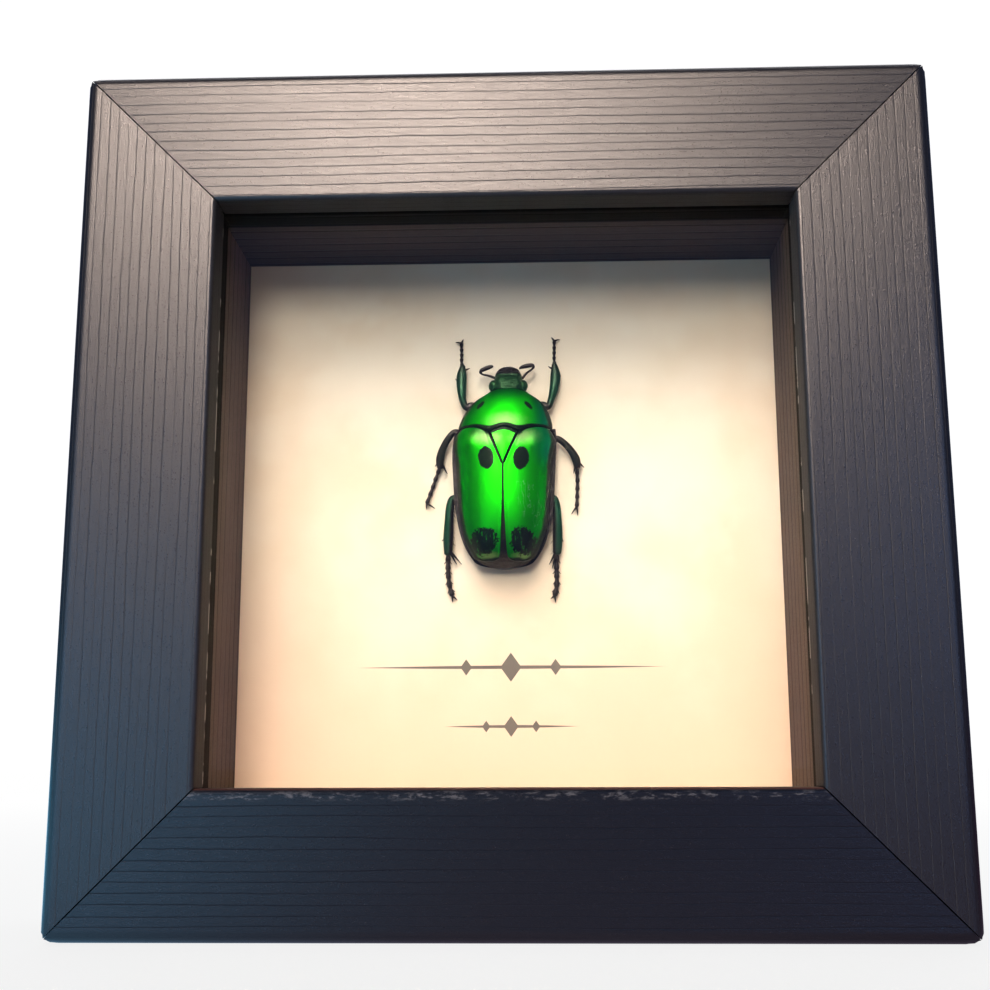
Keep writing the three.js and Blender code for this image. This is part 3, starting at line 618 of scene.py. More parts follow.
# %% Clear picture glass
glass, tree, shader = new_material("picture glass")
shader["Base Color"].default_value = (0.985, 1.0, 0.995, 1)
shader["Roughness"].default_value = 0.0
shader["IOR"].default_value = 1.46
shader["Specular IOR Level"].default_value = 0.1
shader["Transmission Weight"].default_value = 1.0
clear = put(tree, "ShaderNodeBsdfTransparent")
shadow = put(tree, "ShaderNodeLightPath", out="Is Shadow Ray")
mixed = put(tree, "ShaderNodeMixShader", (shadow, tree.nodes["Principled BSDF"].outputs[0], clear))
tree.links.new(mixed, tree.nodes["Material Output"].inputs["Surface"])
pane = wear_finish(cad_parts["glass_pane"], glass)
print("material:", glass.name)

# %% [markdown]
# The card is parchment paper: cream, with pale clouds, and nearly matt. Painted shade turns it tan towards
# its edges and its bottom, where less light falls. It is flat, so a finish alone makes it. A printed ornament
# decorates it below the specimen: two thin rules that swell in the middle, with lozenges on them. Distances
# in the paper's plane draw the ornament, so it stays sharp at any size.

# %% Parchment, with a printed ornament
INK = (0.055, 0.052, 0.045, 1)
RULES = (
    {"up": -22.0, "half": 21.0, "thick": 0.22, "lozenge": 1.5, "beside": 6.5},
    {"up": -30.5, "half": 9.0, "thick": 0.18, "lozenge": 1.05, "beside": 3.6},
)
PAPER = (0.82, 0.71, 0.52, 1)
PAPER_CLOUD = (0.91, 0.84, 0.67, 1)
PAPER_PALE = (0.93, 0.88, 0.71, 1)
PAPER_SHADE_TAN = (0.82, 0.58, 0.4, 1)
parchment, tree, shader = new_material("parchment")
place = object_place(tree)
x, _, z = apart(tree, place)
cloud = noise(tree, place, 42.0, 3.0, 0.5)
mottle = noise(tree, place, 130.0, 4.0, 0.6)
right_mm = calc(tree, "ABSOLUTE", calc(tree, "DIVIDE", x, MM))
up_mm = calc(tree, "SUBTRACT", calc(tree, "DIVIDE", z, MM), MIDDLE)
from_middle = calc(tree, "MAXIMUM", right_mm, calc(tree, "ABSOLUTE", up_mm))
# painted shade: the card turns tan towards its edges and its bottom, where less light falls
edge = step(tree, from_middle, 20.0, 42.0)
low = step(tree, up_mm, 5.0, -37.0)
falloff_shade = calc(tree, "MULTIPLY_ADD", edge, 0.3, calc(tree, "MULTIPLY", low, 0.7))
colour = blend(tree, step(tree, cloud, 0.36, 0.62), PAPER, PAPER_CLOUD)
colour = blend(tree, step(tree, mottle, 0.42, 0.75, 0.0, 0.5), colour, PAPER_PALE)
colour = blend(tree, falloff_shade, colour, PAPER_SHADE_TAN)


SMALL_LOZENGE = 0.55
LOZENGE_SQUAT = 0.72


def lozenge(tree, right, up, size):
    """Negative inside a lozenge of this half width, and positive outside it."""
    aside = calc(tree, "ABSOLUTE", right)
    away = calc(tree, "MULTIPLY_ADD", calc(tree, "ABSOLUTE", up), LOZENGE_SQUAT, aside)
    return calc(tree, "SUBTRACT", away, size)


def printed_rule(tree, right, up, half, thick, lozenge_size, beside):
    """1 on a swelled rule with a lozenge in its middle and a smaller one at each side."""
    share = calc(tree, "DIVIDE", right, half)
    swell = calc(tree, "SUBTRACT", 1.0, calc(tree, "MULTIPLY", share, share))
    away = calc(tree, "MULTIPLY_ADD", swell, -thick, calc(tree, "ABSOLUTE", up))
    away = calc(tree, "MINIMUM", away, lozenge(tree, right, up, lozenge_size))
    from_small = calc(tree, "SUBTRACT", right, beside)
    away = calc(tree, "MINIMUM", away, lozenge(tree, from_small, up, lozenge_size * SMALL_LOZENGE))
    return step(tree, away, 0.0, 0.05, 1.0, 0.0)


for rule in RULES:
    above = calc(tree, "SUBTRACT", up_mm, rule["up"])
    ink = printed_rule(tree, right_mm, above, rule["half"], rule["thick"], rule["lozenge"], rule["beside"])
    colour = blend(tree, calc(tree, "MULTIPLY", ink, 0.9), colour, INK)
fill(tree, shader["Base Color"], colour)
shader["Roughness"].default_value = 0.8
fill(tree, shader["Normal"], bump(tree, noise(tree, place, 1800.0, 4.0, 0.6), 0.15, 0.00005))

wear_finish(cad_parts["card"], parchment)
print("rules printed on the card:", len(RULES))

# %% [markdown]
# The back is closed with a board of brown hardboard, held by four bendable steel tabs, and a toothed
# steel hanger is nailed to the top rail. They are flat, stamped or cut pieces with nothing fine on
# them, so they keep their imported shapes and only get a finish: fine felted fibres for the board, and
# faint rolling lines and dull patches for the zinc on the steel.

# %% Hardboard and steel, for the back
BOARD_DARK = (0.11, 0.055, 0.028, 1)
BOARD_PALE = (0.26, 0.15, 0.08, 1)
BOARD_PATCH = (0.2, 0.105, 0.055, 1)
hardboard, tree, shader = new_material("hardboard")
place = object_place(tree)
felt = noise(tree, place, 1500.0, 5.0, 0.7)
patches = noise(tree, place, 30.0, 3.0)
colour = blend(tree, step(tree, felt, 0.25, 0.75), BOARD_DARK, BOARD_PALE)
colour = blend(tree, step(tree, patches, 0.4, 0.7, 0.0, 0.5), colour, BOARD_PATCH)
fill(tree, shader["Base Color"], colour)
shader["Roughness"].default_value = 0.62
fill(tree, shader["Normal"], bump(tree, felt, 0.4, 0.00006))

ZINC_BRIGHT = (0.62, 0.61, 0.57, 1)
ZINC_DULL = (0.42, 0.41, 0.38, 1)
steel, tree, shader = new_material("zinc-plated steel")
place = object_place(tree)
x, y, z = apart(tree, place)
rolled = together(tree, calc(tree, "MULTIPLY", x, 0.06), y, z)
rolling = noise(tree, rolled, 2600.0, 3.0, 0.6)
dull = noise(tree, place, 260.0, 3.0)
colour = blend(tree, step(tree, dull, 0.35, 0.7), ZINC_BRIGHT, ZINC_DULL)
fill(tree, shader["Base Color"], colour)
shader["Metallic"].default_value = 1.0
fill(tree, shader["Roughness"], step(tree, dull, 0.3, 0.7, 0.28, 0.5))
fill(tree, shader["Normal"], bump(tree, rolling, 0.3, 0.00003))

STEEL_PIECES = (
    "tab_top", "tab_bottom", "tab_left", "tab_right", "sawtooth_hanger", "hanger_nail_left",
    "hanger_nail_right",
)
wear_finish(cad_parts["back_board"], hardboard)
for name in STEEL_PIECES:
    wear_finish(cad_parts[name], steel)
print("pieces of steel:", len(STEEL_PIECES))

# %% [markdown]
# The beetle's plates are domed shells whose outline and height follow a few measured widths. A smooth
# curve through those widths gives every point between them, so one rule serves the coarse solid and
# this fine surface alike. In the beetle's own measure x is to the right, y towards the head and the
# height is above the card. The body bends a little to one side towards the head, which `spine` gives.

# %% Curves that the plates share
def lerp(first, second, share):
    return first + (second - first) * share


def clamp(value, low, high):
    return max(low, min(high, value))


def through(*pairs):
    """A smooth curve through a few (place, value) pairs, read by place."""
    last = len(pairs) - 1
    slopes = []
    for i in range(last + 1):
        before, after = pairs[max(i - 1, 0)], pairs[min(i + 1, last)]
        slopes.append((after[1] - before[1]) / (after[0] - before[0]))

    def read(wanted):
        place = clamp(wanted, pairs[0][0], pairs[last][0])
        i = 0
        while i < last - 1 and place > pairs[i + 1][0]:
            i += 1
        width = pairs[i + 1][0] - pairs[i][0]
        t = (place - pairs[i][0]) / width
        turn = t * (1 - t) * width * (slopes[i] * (1 - t) - slopes[i + 1] * t)
        return lerp(pairs[i][1], pairs[i + 1][1], (3 - 2 * t) * t * t) + turn

    return read


def bell(distance, reach):
    return math.exp(-((distance / reach) ** 2))


def eased(t):
    return (1 - math.cos(math.pi * t)) / 2


def spine(y):
    t = clamp((y - 8) / 12, 0, 1)
    return lerp(-0.8, -0.1, t * t * (3 - 2 * t))


print(f"the middle of the beetle lies at x {spine(0):.1f} mm, and of its head at x {spine(20):.1f} mm")

# %% [markdown]
# The widths and heights themselves, as (y, how far from the middle) and as (y, how high). The body is
# wider than the wing cases on it, and the shield is a curve of its own. `rear_edge` is the wavy line
# where the shield meets the wing cases, read by the distance from the middle.

# %% Widths and heights of the beetle
body_reach = through(
    (-7.85, 1.6), (-7.7, 2.9), (-7.3, 3.95), (-6.7, 4.55), (-6, 5.05), (-4.9, 5.7), (-3.7, 6.18),
    (-2.5, 6.55), (-0.7, 6.93), (1.4, 7.25), (3.5, 7.42), (5.5, 7.52), (8, 7.65), (10, 7.65),
    (11.5, 7.5), (12.8, 7),
)
case_reach = through(
    (-7.85, 1), (-7.7, 2.3), (-7.3, 3.5), (-6.7, 4.2), (-6, 4.7), (-4.9, 5.3), (-3.7, 5.75),
    (-2.5, 6.1), (-0.7, 6.45), (1.4, 6.68), (3.5, 6.82), (5.5, 6.9), (8, 7.1), (9.5, 7.4), (11, 7.4),
    (12, 6.9), (12.8, 6.2),
)
ridge = through(
    (-7.85, 4.4), (-7.1, 6), (-5.8, 7.6), (-3.4, 8.9), (0, 9.6), (4, 9.8), (8, 9.6), (11, 9.2), (13, 8.9)
)
shield_reach = through((12, 6.95), (13, 6.95), (14, 6.7), (15.2, 6.2), (16.4, 5.4), (17.2, 4.55), (18, 3.2))
shield_ridge = through(
    (11.4, 9), (12.2, 8.9), (13.5, 8.5), (15, 7.9), (17, 6.7), (18.2, 5.6), (19, 4.6)
)
rear_edge = through((0, 12.1), (0.6, 12), (2.1, 11.45), (3.9, 12.1), (5.3, 12.4), (6.95, 12.6))
scutellum_reach = through((6.4, 0.12), (8, 0.78), (9.6, 1.44), (11.3, 2.15))
RIM = 3.8
SEAM = 0.35
WING_CASE = 0.6
SHIELD = {"back": 12.6, "front": 18.0, "bulge": 1.0, "rim": 3.3}
WING = {"end": -7.2, "tip_from": -6.6, "base": 11.05}
SCUTELLUM = {"tip": 6.4, "base": 11.1}


def back_height(across, y):
    """Height of the back over the wing cases and the scutellum."""
    share = clamp(abs(across) / case_reach(y), 0, 1)
    dome = (1 - share**2.6) ** 0.62
    shoulder = 0.45 * bell(abs(across) - 5.2, 1.3) * bell(y - 9.8, 1.5)
    tail = 0.5 * bell(abs(across) - 3.2, 1.2) * bell(y + 5.6, 1.2)
    return RIM + (ridge(y) - RIM) * dome + (shoulder + tail) * (1 - share**6)


def shield_back(across):
    """The wavy rear edge of the front shield."""
    return rear_edge(abs(across))


print(f"the back is {back_height(0, 4):.1f} mm above the card, and {2 * case_reach(9.5):.1f} mm wide")

# %% [markdown]
# A plate is a pillow of two sheets over one grid, joined round the rim. Each point also keeps how far it lies
# from the outer edge of the shell, where the colour darkens into the margin and into painted shade, and how
# far from the plate's own rim, which is a thin black line. A small bevel takes the knife edge off the rim, as
# on the real shell.

# %% A closed plate from a rule for its points
def plate(name, across, along, rule, bevel=0.07):
    """rule(s, t, upper) gives (x, y, height, to the edge, to the rim), s and t from 0 to 1."""
    mesh = bpy.data.meshes.new(name)
    points, edges_away, rims_away = [], [], []
    for upper in (0, 1):
        for j in range(along + 1):
            for i in range(across + 1):
                x, y, height, away, rim_away = rule(i / across, j / along, upper)
                points.append(on_card(x, y, height))
                edges_away.append(away)
                rims_away.append(rim_away)
    row, sheet = across + 1, (across + 1) * (along + 1)
    faces = []
    for j in range(along):
        for i in range(across):
            a = j * row + i
            faces.append((sheet + a, sheet + a + 1, sheet + a + row + 1, sheet + a + row))
            faces.append((a, a + row, a + row + 1, a + 1))
    ring = list(range(across)) + [j * row + across for j in range(along)]
    ring += [along * row + i for i in range(across, 0, -1)] + [j * row for j in range(along, 0, -1)]
    for k, a in enumerate(ring):
        b = ring[(k + 1) % len(ring)]
        faces.append((a, b, sheet + b, sheet + a))
    mesh.from_pydata(points, [], faces)
    mesh.attributes.new("to_edge", "FLOAT", "POINT").data.foreach_set("value", edges_away)
    mesh.attributes.new("to_rim", "FLOAT", "POINT").data.foreach_set("value", rims_away)
    outwards(mesh)
    return finished(name, mesh, bevel)


SHARP_PLATE = 50


def finished(name, mesh, bevel=0.0):
    """A mesh as a piece, with its sharp edges rounded if a bevel is given."""
    piece = bpy.data.objects.new(name, mesh)
    bpy.context.scene.collection.objects.link(piece)
    if bevel:
        rounding = piece.modifiers.new("rim", "BEVEL")
        rounding.width = bevel * MM
        rounding.segments = 2
        rounding.angle_limit = math.radians(SHARP_PLATE)
        frozen(piece)
    smooth(piece.data, SHARP_PLATE)
    return piece


print("plates stay sharp where they turn by more than", SHARP_PLATE, "degrees")

# %% [markdown]
# The wing cases of this beetle look lit from within. Real ones are clear layers over a dark ground,
# which return green light like a tinted mirror. A metallic green with a middling roughness does the
# same: it glows where it faces the light and turns dark where it curves away. Markings are dull and
# black, so they take the metal away. Each marking is an oval with a ragged edge, placed in the
# beetle's own measure. The pits of the duller shell are a second group.

# %% Shader groups for markings and for pitted shell
def beetle_place(tree):
    """The place on the beetle as (x, height, y) in millimetres, from Object coordinates."""
    spread = (1 / MM, -1 / MM, 1 / MM)
    return put(
        tree, "ShaderNodeVectorMath", (object_place(tree), spread, (0, CARD_FACE, -MIDDLE)),
        operation="MULTIPLY_ADD",
    )


MARK_INPUTS = {
    "Place": "Vector", "X": "Float", "Y": "Float", "Width": "Float", "Length": "Float", "Lean": "Float",
    "Ragged": "Float", "Soft": "Float",
}
marking, given, wanted = new_group("marking", "ShaderNodeTree", MARK_INPUTS, {"Mask": "Float"})
x, _, y = apart(marking, given["Place"])
from_y = calc(marking, "SUBTRACT", y, given["Y"])
from_x = calc(marking, "SUBTRACT", x, given["X"])
from_x = calc(marking, "SUBTRACT", from_x, calc(marking, "MULTIPLY", from_y, given["Lean"]))
wide = calc(marking, "DIVIDE", from_x, calc(marking, "MULTIPLY", given["Width"], 0.5))
long = calc(marking, "DIVIDE", from_y, calc(marking, "MULTIPLY", given["Length"], 0.5))
squares = calc(marking, "ADD", calc(marking, "MULTIPLY", wide, wide), calc(marking, "MULTIPLY", long, long))
rough_edge = calc(marking, "SUBTRACT", noise(marking, given["Place"], 2.2, 3.0, 0.6), 0.5)
radius = calc(marking, "MULTIPLY_ADD", rough_edge, given["Ragged"], calc(marking, "SQRT", squares))
inner = calc(marking, "SUBTRACT", 1.0, given["Soft"])
outer = calc(marking, "ADD", 1.0, given["Soft"])
fill(marking, wanted["Mask"], step(marking, radius, inner, outer, 1.0, 0.0))

shell_pits, given, wanted = new_group(
    "shell pits", "ShaderNodeTree", {"Place": "Vector", "Per Millimetre": "Float", "Size": "Float"},
    {"Pits": "Float", "Height": "Float"},
)
cell = put(shell_pits, "ShaderNodeTexVoronoi", {"Vector": given["Place"], "Scale": given["Per Millimetre"]})
pits = step(shell_pits, cell, calc(shell_pits, "MULTIPLY", given["Size"], 0.4), given["Size"], 1.0, 0.0)
waves = noise(shell_pits, given["Place"], 1.3, 2.0)
fill(shell_pits, wanted["Pits"], pits)
fill(shell_pits, wanted["Height"], calc(shell_pits, "MULTIPLY_ADD", pits, -0.6, waves))
print("nodes in the marking group:", len(marking.nodes), "and in the pits group:", len(shell_pits.nodes))

# %% [markdown]
# The green shell itself. From the outside in: a brown-black margin with an uneven edge, dark green, and the
# brilliant green of the middle, with a breath of blue on the right shoulder. The dark green towards the edges
# and the tail is painted shade, where the dome turns away from the light. Six black markings lie on it. The
# two at the rear are torn by streaks of green. Small pale patches are painted highlights, where the shell
# faces the light, and a few hair-thin scratches cross the right wing case. A metal turns white at a grazing
# angle, which would veil the green in grey, so the specular tint keeps that sheen green too.

# %% The green shell
MARKINGS = (
    {"X": -4.1, "Y": 15.7, "Width": 0.9, "Length": 1.3, "Lean": 0.6, "Ragged": 0.5, "Soft": 0.25},
    {"X": 2.9, "Y": 15.5, "Width": 0.9, "Length": 1.3, "Lean": -0.6, "Ragged": 0.5, "Soft": 0.25},
    {"X": -3.2, "Y": 7.15, "Width": 2.3, "Length": 3.4, "Lean": -0.08, "Ragged": 0.45, "Soft": 0.05},
    {"X": 1.8, "Y": 7.1, "Width": 2.3, "Length": 3.4, "Lean": 0.08, "Ragged": 0.45, "Soft": 0.05},
)
REAR_MARKINGS = (
    {"X": -3.65, "Y": -4.6, "Width": 4.1, "Length": 3.7, "Lean": 0.1, "Ragged": 1.0, "Soft": 0.08},
    {"X": 2.05, "Y": -4.7, "Width": 3.8, "Length": 3.7, "Lean": -0.1, "Ragged": 1.0, "Soft": 0.08},
)
PAINTED_HIGHLIGHTS = (
    {"X": -0.4, "Y": 12.8, "Width": 4.6, "Length": 1.9, "Lean": 0.0, "Ragged": 0.8, "Soft": 0.9},
    {"X": -3.5, "Y": 10.3, "Width": 3.2, "Length": 1.9, "Lean": -0.4, "Ragged": 0.8, "Soft": 0.9},
    {"X": 2.5, "Y": 10.3, "Width": 3.2, "Length": 1.9, "Lean": 0.4, "Ragged": 0.8, "Soft": 0.9},
    {"X": -3.0, "Y": -6.6, "Width": 2.4, "Length": 1.0, "Lean": 0.0, "Ragged": 0.8, "Soft": 0.8},
    {"X": 2.1, "Y": -6.6, "Width": 2.4, "Length": 1.0, "Lean": 0.0, "Ragged": 0.8, "Soft": 0.8},
)
SCRATCHED = {"X": 3.0, "Y": 0.8, "Width": 3.2, "Length": 6.4, "Lean": -0.2, "Ragged": 0.8, "Soft": 0.3}
GREEN_IN_SHADE = (0.0, 0.15, 0.01, 1)
GREEN_BRIGHT = (0.006, 0.54, 0.0003, 1)
BLUE_BREATH = (0.0, 0.12, 0.16, 1)
HIGHLIGHT_PALE = (0.5, 0.44, 0.32, 1)
SCRATCH_PALE = (0.35, 0.6, 0.45, 1)
MARGIN_DARK = (0.003, 0.004, 0.003, 1)
MARK_BLACK = (0.0025, 0.0025, 0.003, 1)
METAL = 0.97
green_shell, tree, shader = new_material("green shell")
place = beetle_place(tree)
x, _, y = apart(tree, place)
to_edge = attribute(tree, "to_edge", out="Fac")
to_rim = attribute(tree, "to_rim", out="Fac")
# painted shade: the green darkens towards the edges and the tail, where the dome turns away from the light
uneven = calc(tree, "MULTIPLY_ADD", noise(tree, place, 0.7, 2.0), 0.7, calc(tree, "SUBTRACT", to_edge, 0.35))
centre = step(tree, uneven, 0.8, 3.6)
rear = step(tree, y, -6.5, 2.5, 0.45, 1.0)
share = calc(tree, "MULTIPLY", centre, rear)
colour = blend(tree, share, GREEN_IN_SHADE, GREEN_BRIGHT)
blue = calc(tree, "MULTIPLY", step(tree, x, 2.8, 5.6), step(tree, y, 5.0, 9.0))
colour = blend(tree, calc(tree, "MULTIPLY", blue, 0.6), colour, BLUE_BREATH)


def drawn_out(tree, place, wide, long):
    """A place on the beetle with its width and its length multiplied, for streaky noise."""
    x, height, y = apart(tree, place)
    return together(tree, calc(tree, "MULTIPLY", x, wide), height, calc(tree, "MULTIPLY", y, long))


def greatest(tree, marks, settings, place):
    """The greatest of a mask and some markings."""
    for mark in settings:
        marks = calc(tree, "MAXIMUM", marks, use_group(tree, marking, Place=place, **mark)["Mask"])
    return marks


print("nodes in the green shell so far:", len(tree.nodes))

# %% [markdown]
# On the green lie, in this order, the painted highlights, the scratches, the dark margin and the markings.
# What is marked loses its metal. The pits and a thin clear coat come last.

# %% Patches, scratches and markings of the green shell
# painted highlights: pale patches where the shell faces the light
pale = calc(tree, "MULTIPLY", greatest(tree, 0.0, PAINTED_HIGHLIGHTS, place), 0.24)
colour = blend(tree, pale, colour, HIGHLIGHT_PALE)
strands = noise(tree, drawn_out(tree, place, 1.6, 0.55), 0.9, 2.0)
hair = step(tree, calc(tree, "ABSOLUTE", calc(tree, "SUBTRACT", strands, 0.5)), 0.0, 0.012, 1.0, 0.0)
scratched = use_group(tree, marking, Place=place, **SCRATCHED)["Mask"]
scratches = calc(tree, "MULTIPLY", calc(tree, "MULTIPLY", hair, scratched), 0.45)
colour = blend(tree, scratches, colour, SCRATCH_PALE)

margin = step(tree, uneven, 0.45, 1.05, 1.0, 0.0)
colour = blend(tree, margin, colour, MARGIN_DARK)
torn = noise(tree, drawn_out(tree, place, 3.0, 0.8), 1.0, 3.0, 0.7)
flecks = step(tree, torn, 0.6, 0.68, 1.0, 0.25)
rear_marks = calc(tree, "MULTIPLY", greatest(tree, 0.0, REAR_MARKINGS, place), flecks)
rim_line = step(tree, to_rim, 0.1, 0.19, 1.0, 0.0)
marks = calc(tree, "MAXIMUM", calc(tree, "MAXIMUM", margin, rim_line), rear_marks)
marks = greatest(tree, marks, MARKINGS, place)
colour = blend(tree, marks, colour, MARK_BLACK)
fill(tree, shader["Base Color"], colour)
fill(tree, shader["Metallic"], calc(tree, "MULTIPLY_ADD", marks, -METAL, METAL))
fill(tree, shader["Roughness"], calc(tree, "MULTIPLY_ADD", marks, 0.04, 0.46))
shader["Specular IOR Level"].default_value = 0.12
shader["Specular Tint"].default_value = (0.32, 0.85, 0.3, 1)
fill(tree, shader["Coat Weight"], calc(tree, "MULTIPLY", step(tree, centre, 0.3, 1.0), 0.05))
shader["Coat Roughness"].default_value = 0.3
pits = use_group(tree, shell_pits, Place=place, Per_Millimetre=5.0, Size=0.16)
fill(tree, shader["Normal"], bump(tree, pits["Height"], 0.12, 0.00005))
print("markings on the green shell:", len(MARKINGS) + len(REAR_MARKINGS))

# %% [markdown]
# The head and the body have no polish. Pits cover them, each a dimple darkened with painted shade, and only
# the flat top of the head has a dull green cast.

# %% Dark shell, for the head and the body
DARK_DEEP = (0.006, 0.0045, 0.004, 1)
DARK_BROWN = (0.02, 0.014, 0.012, 1)
HEAD_GREEN = (0.007, 0.045, 0.012, 1)
PIT_SHADE = (0.002, 0.003, 0.002, 1)
dark_shell, tree, shader = new_material("dark shell")
place = beetle_place(tree)
_, _, y = apart(tree, place)
pits = use_group(tree, shell_pits, Place=place, Per_Millimetre=4.0, Size=0.3)
green = calc(tree, "MULTIPLY", step(tree, y, 17.0, 18.6), step(tree, y, 21.3, 20.9))
colour = blend(tree, noise(tree, place, 1.2, 3.0), DARK_DEEP, DARK_BROWN)
colour = blend(tree, green, colour, HEAD_GREEN)
# painted shade: the pits are darkened
colour = blend(tree, pits["Pits"], colour, PIT_SHADE)
fill(tree, shader["Base Color"], colour)
fill(tree, shader["Metallic"], calc(tree, "MULTIPLY", green, 0.45))
shader["Roughness"].default_value = 0.4
shader["Specular IOR Level"].default_value = 0.18
fill(tree, shader["Normal"], bump(tree, pits["Height"], 0.7, 0.00015))
print("material:", dark_shell.name)

# %% [markdown]
# Legs and antennae are brown-black. The outer side of a shin has a green sheen, strongest on the front
# and hind pairs. Each leg carries its share of that sheen along its length, so one finish serves all.

# %% Leg shell
LEG_DEEP = (0.004, 0.003, 0.003, 1)
LEG_BROWN = (0.022, 0.013, 0.01, 1)
SHIN_GREEN = (0.002, 0.07, 0.03, 1)
leg_shell, tree, shader = new_material("leg shell")
place = beetle_place(tree)
pits = use_group(tree, shell_pits, Place=place, Per_Millimetre=6.0, Size=0.22)
sheen = attribute(tree, "sheen", out="Fac")
colour = blend(tree, noise(tree, place, 1.6, 3.0), LEG_DEEP, LEG_BROWN)
colour = blend(tree, sheen, colour, SHIN_GREEN)
# painted shade: the pits are darkened
colour = blend(tree, calc(tree, "MULTIPLY", pits["Pits"], 0.7), colour, PIT_SHADE)
fill(tree, shader["Base Color"], colour)
fill(tree, shader["Metallic"], calc(tree, "MULTIPLY", sheen, 0.7))
shader["Roughness"].default_value = 0.36
shader["Specular IOR Level"].default_value = 0.2
fill(tree, shader["Normal"], bump(tree, pits["Height"], 0.4, 0.00006))
print("material:", leg_shell.name)

# %% [markdown]
# The front thorax carries the round green shield. Its rear rows are only a thin hood over the body; the
# rest is the chest. A raised bead follows its side edges.

# %% The pronotum
HOOD = {"share": 0.22, "shell": 0.8, "edge": 0.4, "deep": 2.4}


def bead(away, at, wide, high):
    """A raised line, or with a negative height a groove, that runs along an edge."""
    return high * bell(away - at, wide)


def pronotum_rule(s, t, upper):
    share = math.sin(math.pi * (s - 0.5))
    straight = lerp(SHIELD["back"], SHIELD["front"], eased(t))
    reach = shield_reach(straight)
    across = share * reach
    bulge = SHIELD["bulge"] * (1 - abs(share) ** 1.6) * t**3
    y = straight + bulge + (shield_back(across) - SHIELD["back"]) * (1 - t) ** 3
    dome = (1 - abs(share) ** 2.3) ** 0.7
    top = SHIELD["rim"] + (shield_ridge(y) - SHIELD["rim"]) * dome
    side_away = (1 - abs(share)) * reach * 1.15
    front_away = (1 - t) * 7.0
    away = min(side_away, front_away)
    top += bead(side_away, 0.2, 0.16, 0.06) + bead(side_away, 0.55, 0.2, -0.05)
    if upper:
        rear_away = (straight - SHIELD["back"]) * 0.6
        return spine(y) + across, y, top, away, min(side_away, rear_away)
    if t < HOOD["share"]:
        return spine(y) + across, y, top - HOOD["shell"], 0.0, 0.0
    deep = HOOD["deep"] * dome * math.sin(math.pi * clamp(t, 0.15, 0.6))
    return spine(y) + across, y, SHIELD["rim"] - HOOD["edge"] - deep, 0.0, 0.0


pronotum = wear_finish(plate("pronotum_shield", 72, 60, pronotum_rule), green_shell)
settle(pronotum, "green_shell", "pronotum")
print(pronotum.name, len(pronotum.data.polygons), "faces")

# %% [markdown]
# The two wing cases meet in a straight seam that opens to a dark wedge at the tail, and the scutellum
# fits between them in front. A hair-thin bead follows the seam and the outer edge.

# %% The wing cases
tip_reach = through((WING["end"], 2.7), (-7, 3.5), (WING["tip_from"], case_reach(WING["tip_from"])))
seam_away = through(
    (WING["end"], 1.5), (-7, 0.85), (-6.6, 0.55), (-5.8, 0.42), (-3, 0.26), (1, 0.1), (7, 0.1)
)


def outer_reach(y):
    return tip_reach(y) if y < WING["tip_from"] else case_reach(y)


def inner_reach(y):
    return seam_away(y) if y < SCUTELLUM["tip"] else max(seam_away(y), scutellum_reach(y) + SEAM / 2)


def wing_case_rule(hand):
    def rule(s, t, upper):
        straight = lerp(WING["end"], WING["base"], eased(t))
        share = math.sin(math.pi / 2 * (s if hand > 0 else 1 - s))
        limit = shield_back(lerp(inner_reach(straight), outer_reach(straight), share)) - SEAM
        y = straight + (limit - WING["base"]) * max(0, 2 * t - 1) ** 4
        inner, outer = inner_reach(y), outer_reach(y)
        away = lerp(inner, outer, share)
        top = back_height(away, y)
        side_away = (outer - away) * 1.3
        end_away = (y - WING["end"]) * 1.6 + 0.3
        base_away = (limit - straight) * 0.9 + 0.35
        seam = away - inner
        top += bead(seam, 0.14, 0.12, 0.05) + bead(seam, 0.4, 0.14, -0.035)
        top += bead(side_away, 0.2, 0.18, 0.05) + bead(side_away, 0.6, 0.25, -0.06)
        if not upper:
            return spine(y) + hand * away, y, top - WING_CASE, 0.0, 0.0
        to_edge = min(side_away, end_away, base_away + 0.3 * seam)
        to_rim = min(side_away, seam * 1.8 + 0.04, (limit - straight) * 0.6)
        return spine(y) + hand * away, y, top, to_edge, to_rim

    return rule


for side_name, hand in (("left", -1), ("right", 1)):
    case = plate(f"wing_case_{side_name}", 46, 110, wing_case_rule(hand))
    settle(wear_finish(case, green_shell), "green_shell", f"elytron_{side_name}")
    print(case.name, len(case.data.polygons), "faces")

# %% [markdown]
# The scutellum is the small triangle between the wing cases. It lies on the same dome as they do, a
# hair higher, and its tip and sides keep the width of a seam from them.

# %% The scutellum
SCUTELLUM_RISE = 0.08


def scutellum_rule(s, t, upper):
    share = 2 * s - 1
    straight = lerp(SCUTELLUM["tip"], SCUTELLUM["base"], t)
    across = share * (scutellum_reach(straight) - SEAM / 4)
    y = straight + (shield_back(across) - SEAM - SCUTELLUM["base"]) * t**3
    top = back_height(across, y) + SCUTELLUM_RISE * (1 - share**2)
    if not upper:
        return spine(y) + across, y, top - WING_CASE, 0.0, 0.0
    side_away = (1 - abs(share)) * scutellum_reach(straight)
    return spine(y) + across, y, top, 5.0, min(side_away, (SCUTELLUM["base"] - straight) * 0.4)


scutellum = plate("scutellum_plate", 20, 28, scutellum_rule, 0.05)
settle(wear_finish(scutellum, green_shell), "green_shell", "scutellum")
print(scutellum.name, len(scutellum.data.polygons), "faces")

# %% [markdown]
# The body is what the wing cases leave uncovered: a rough dark ledge along their edges, and the tail.
# Its skin is wrinkled crosswise, which a little noise on the height gives.

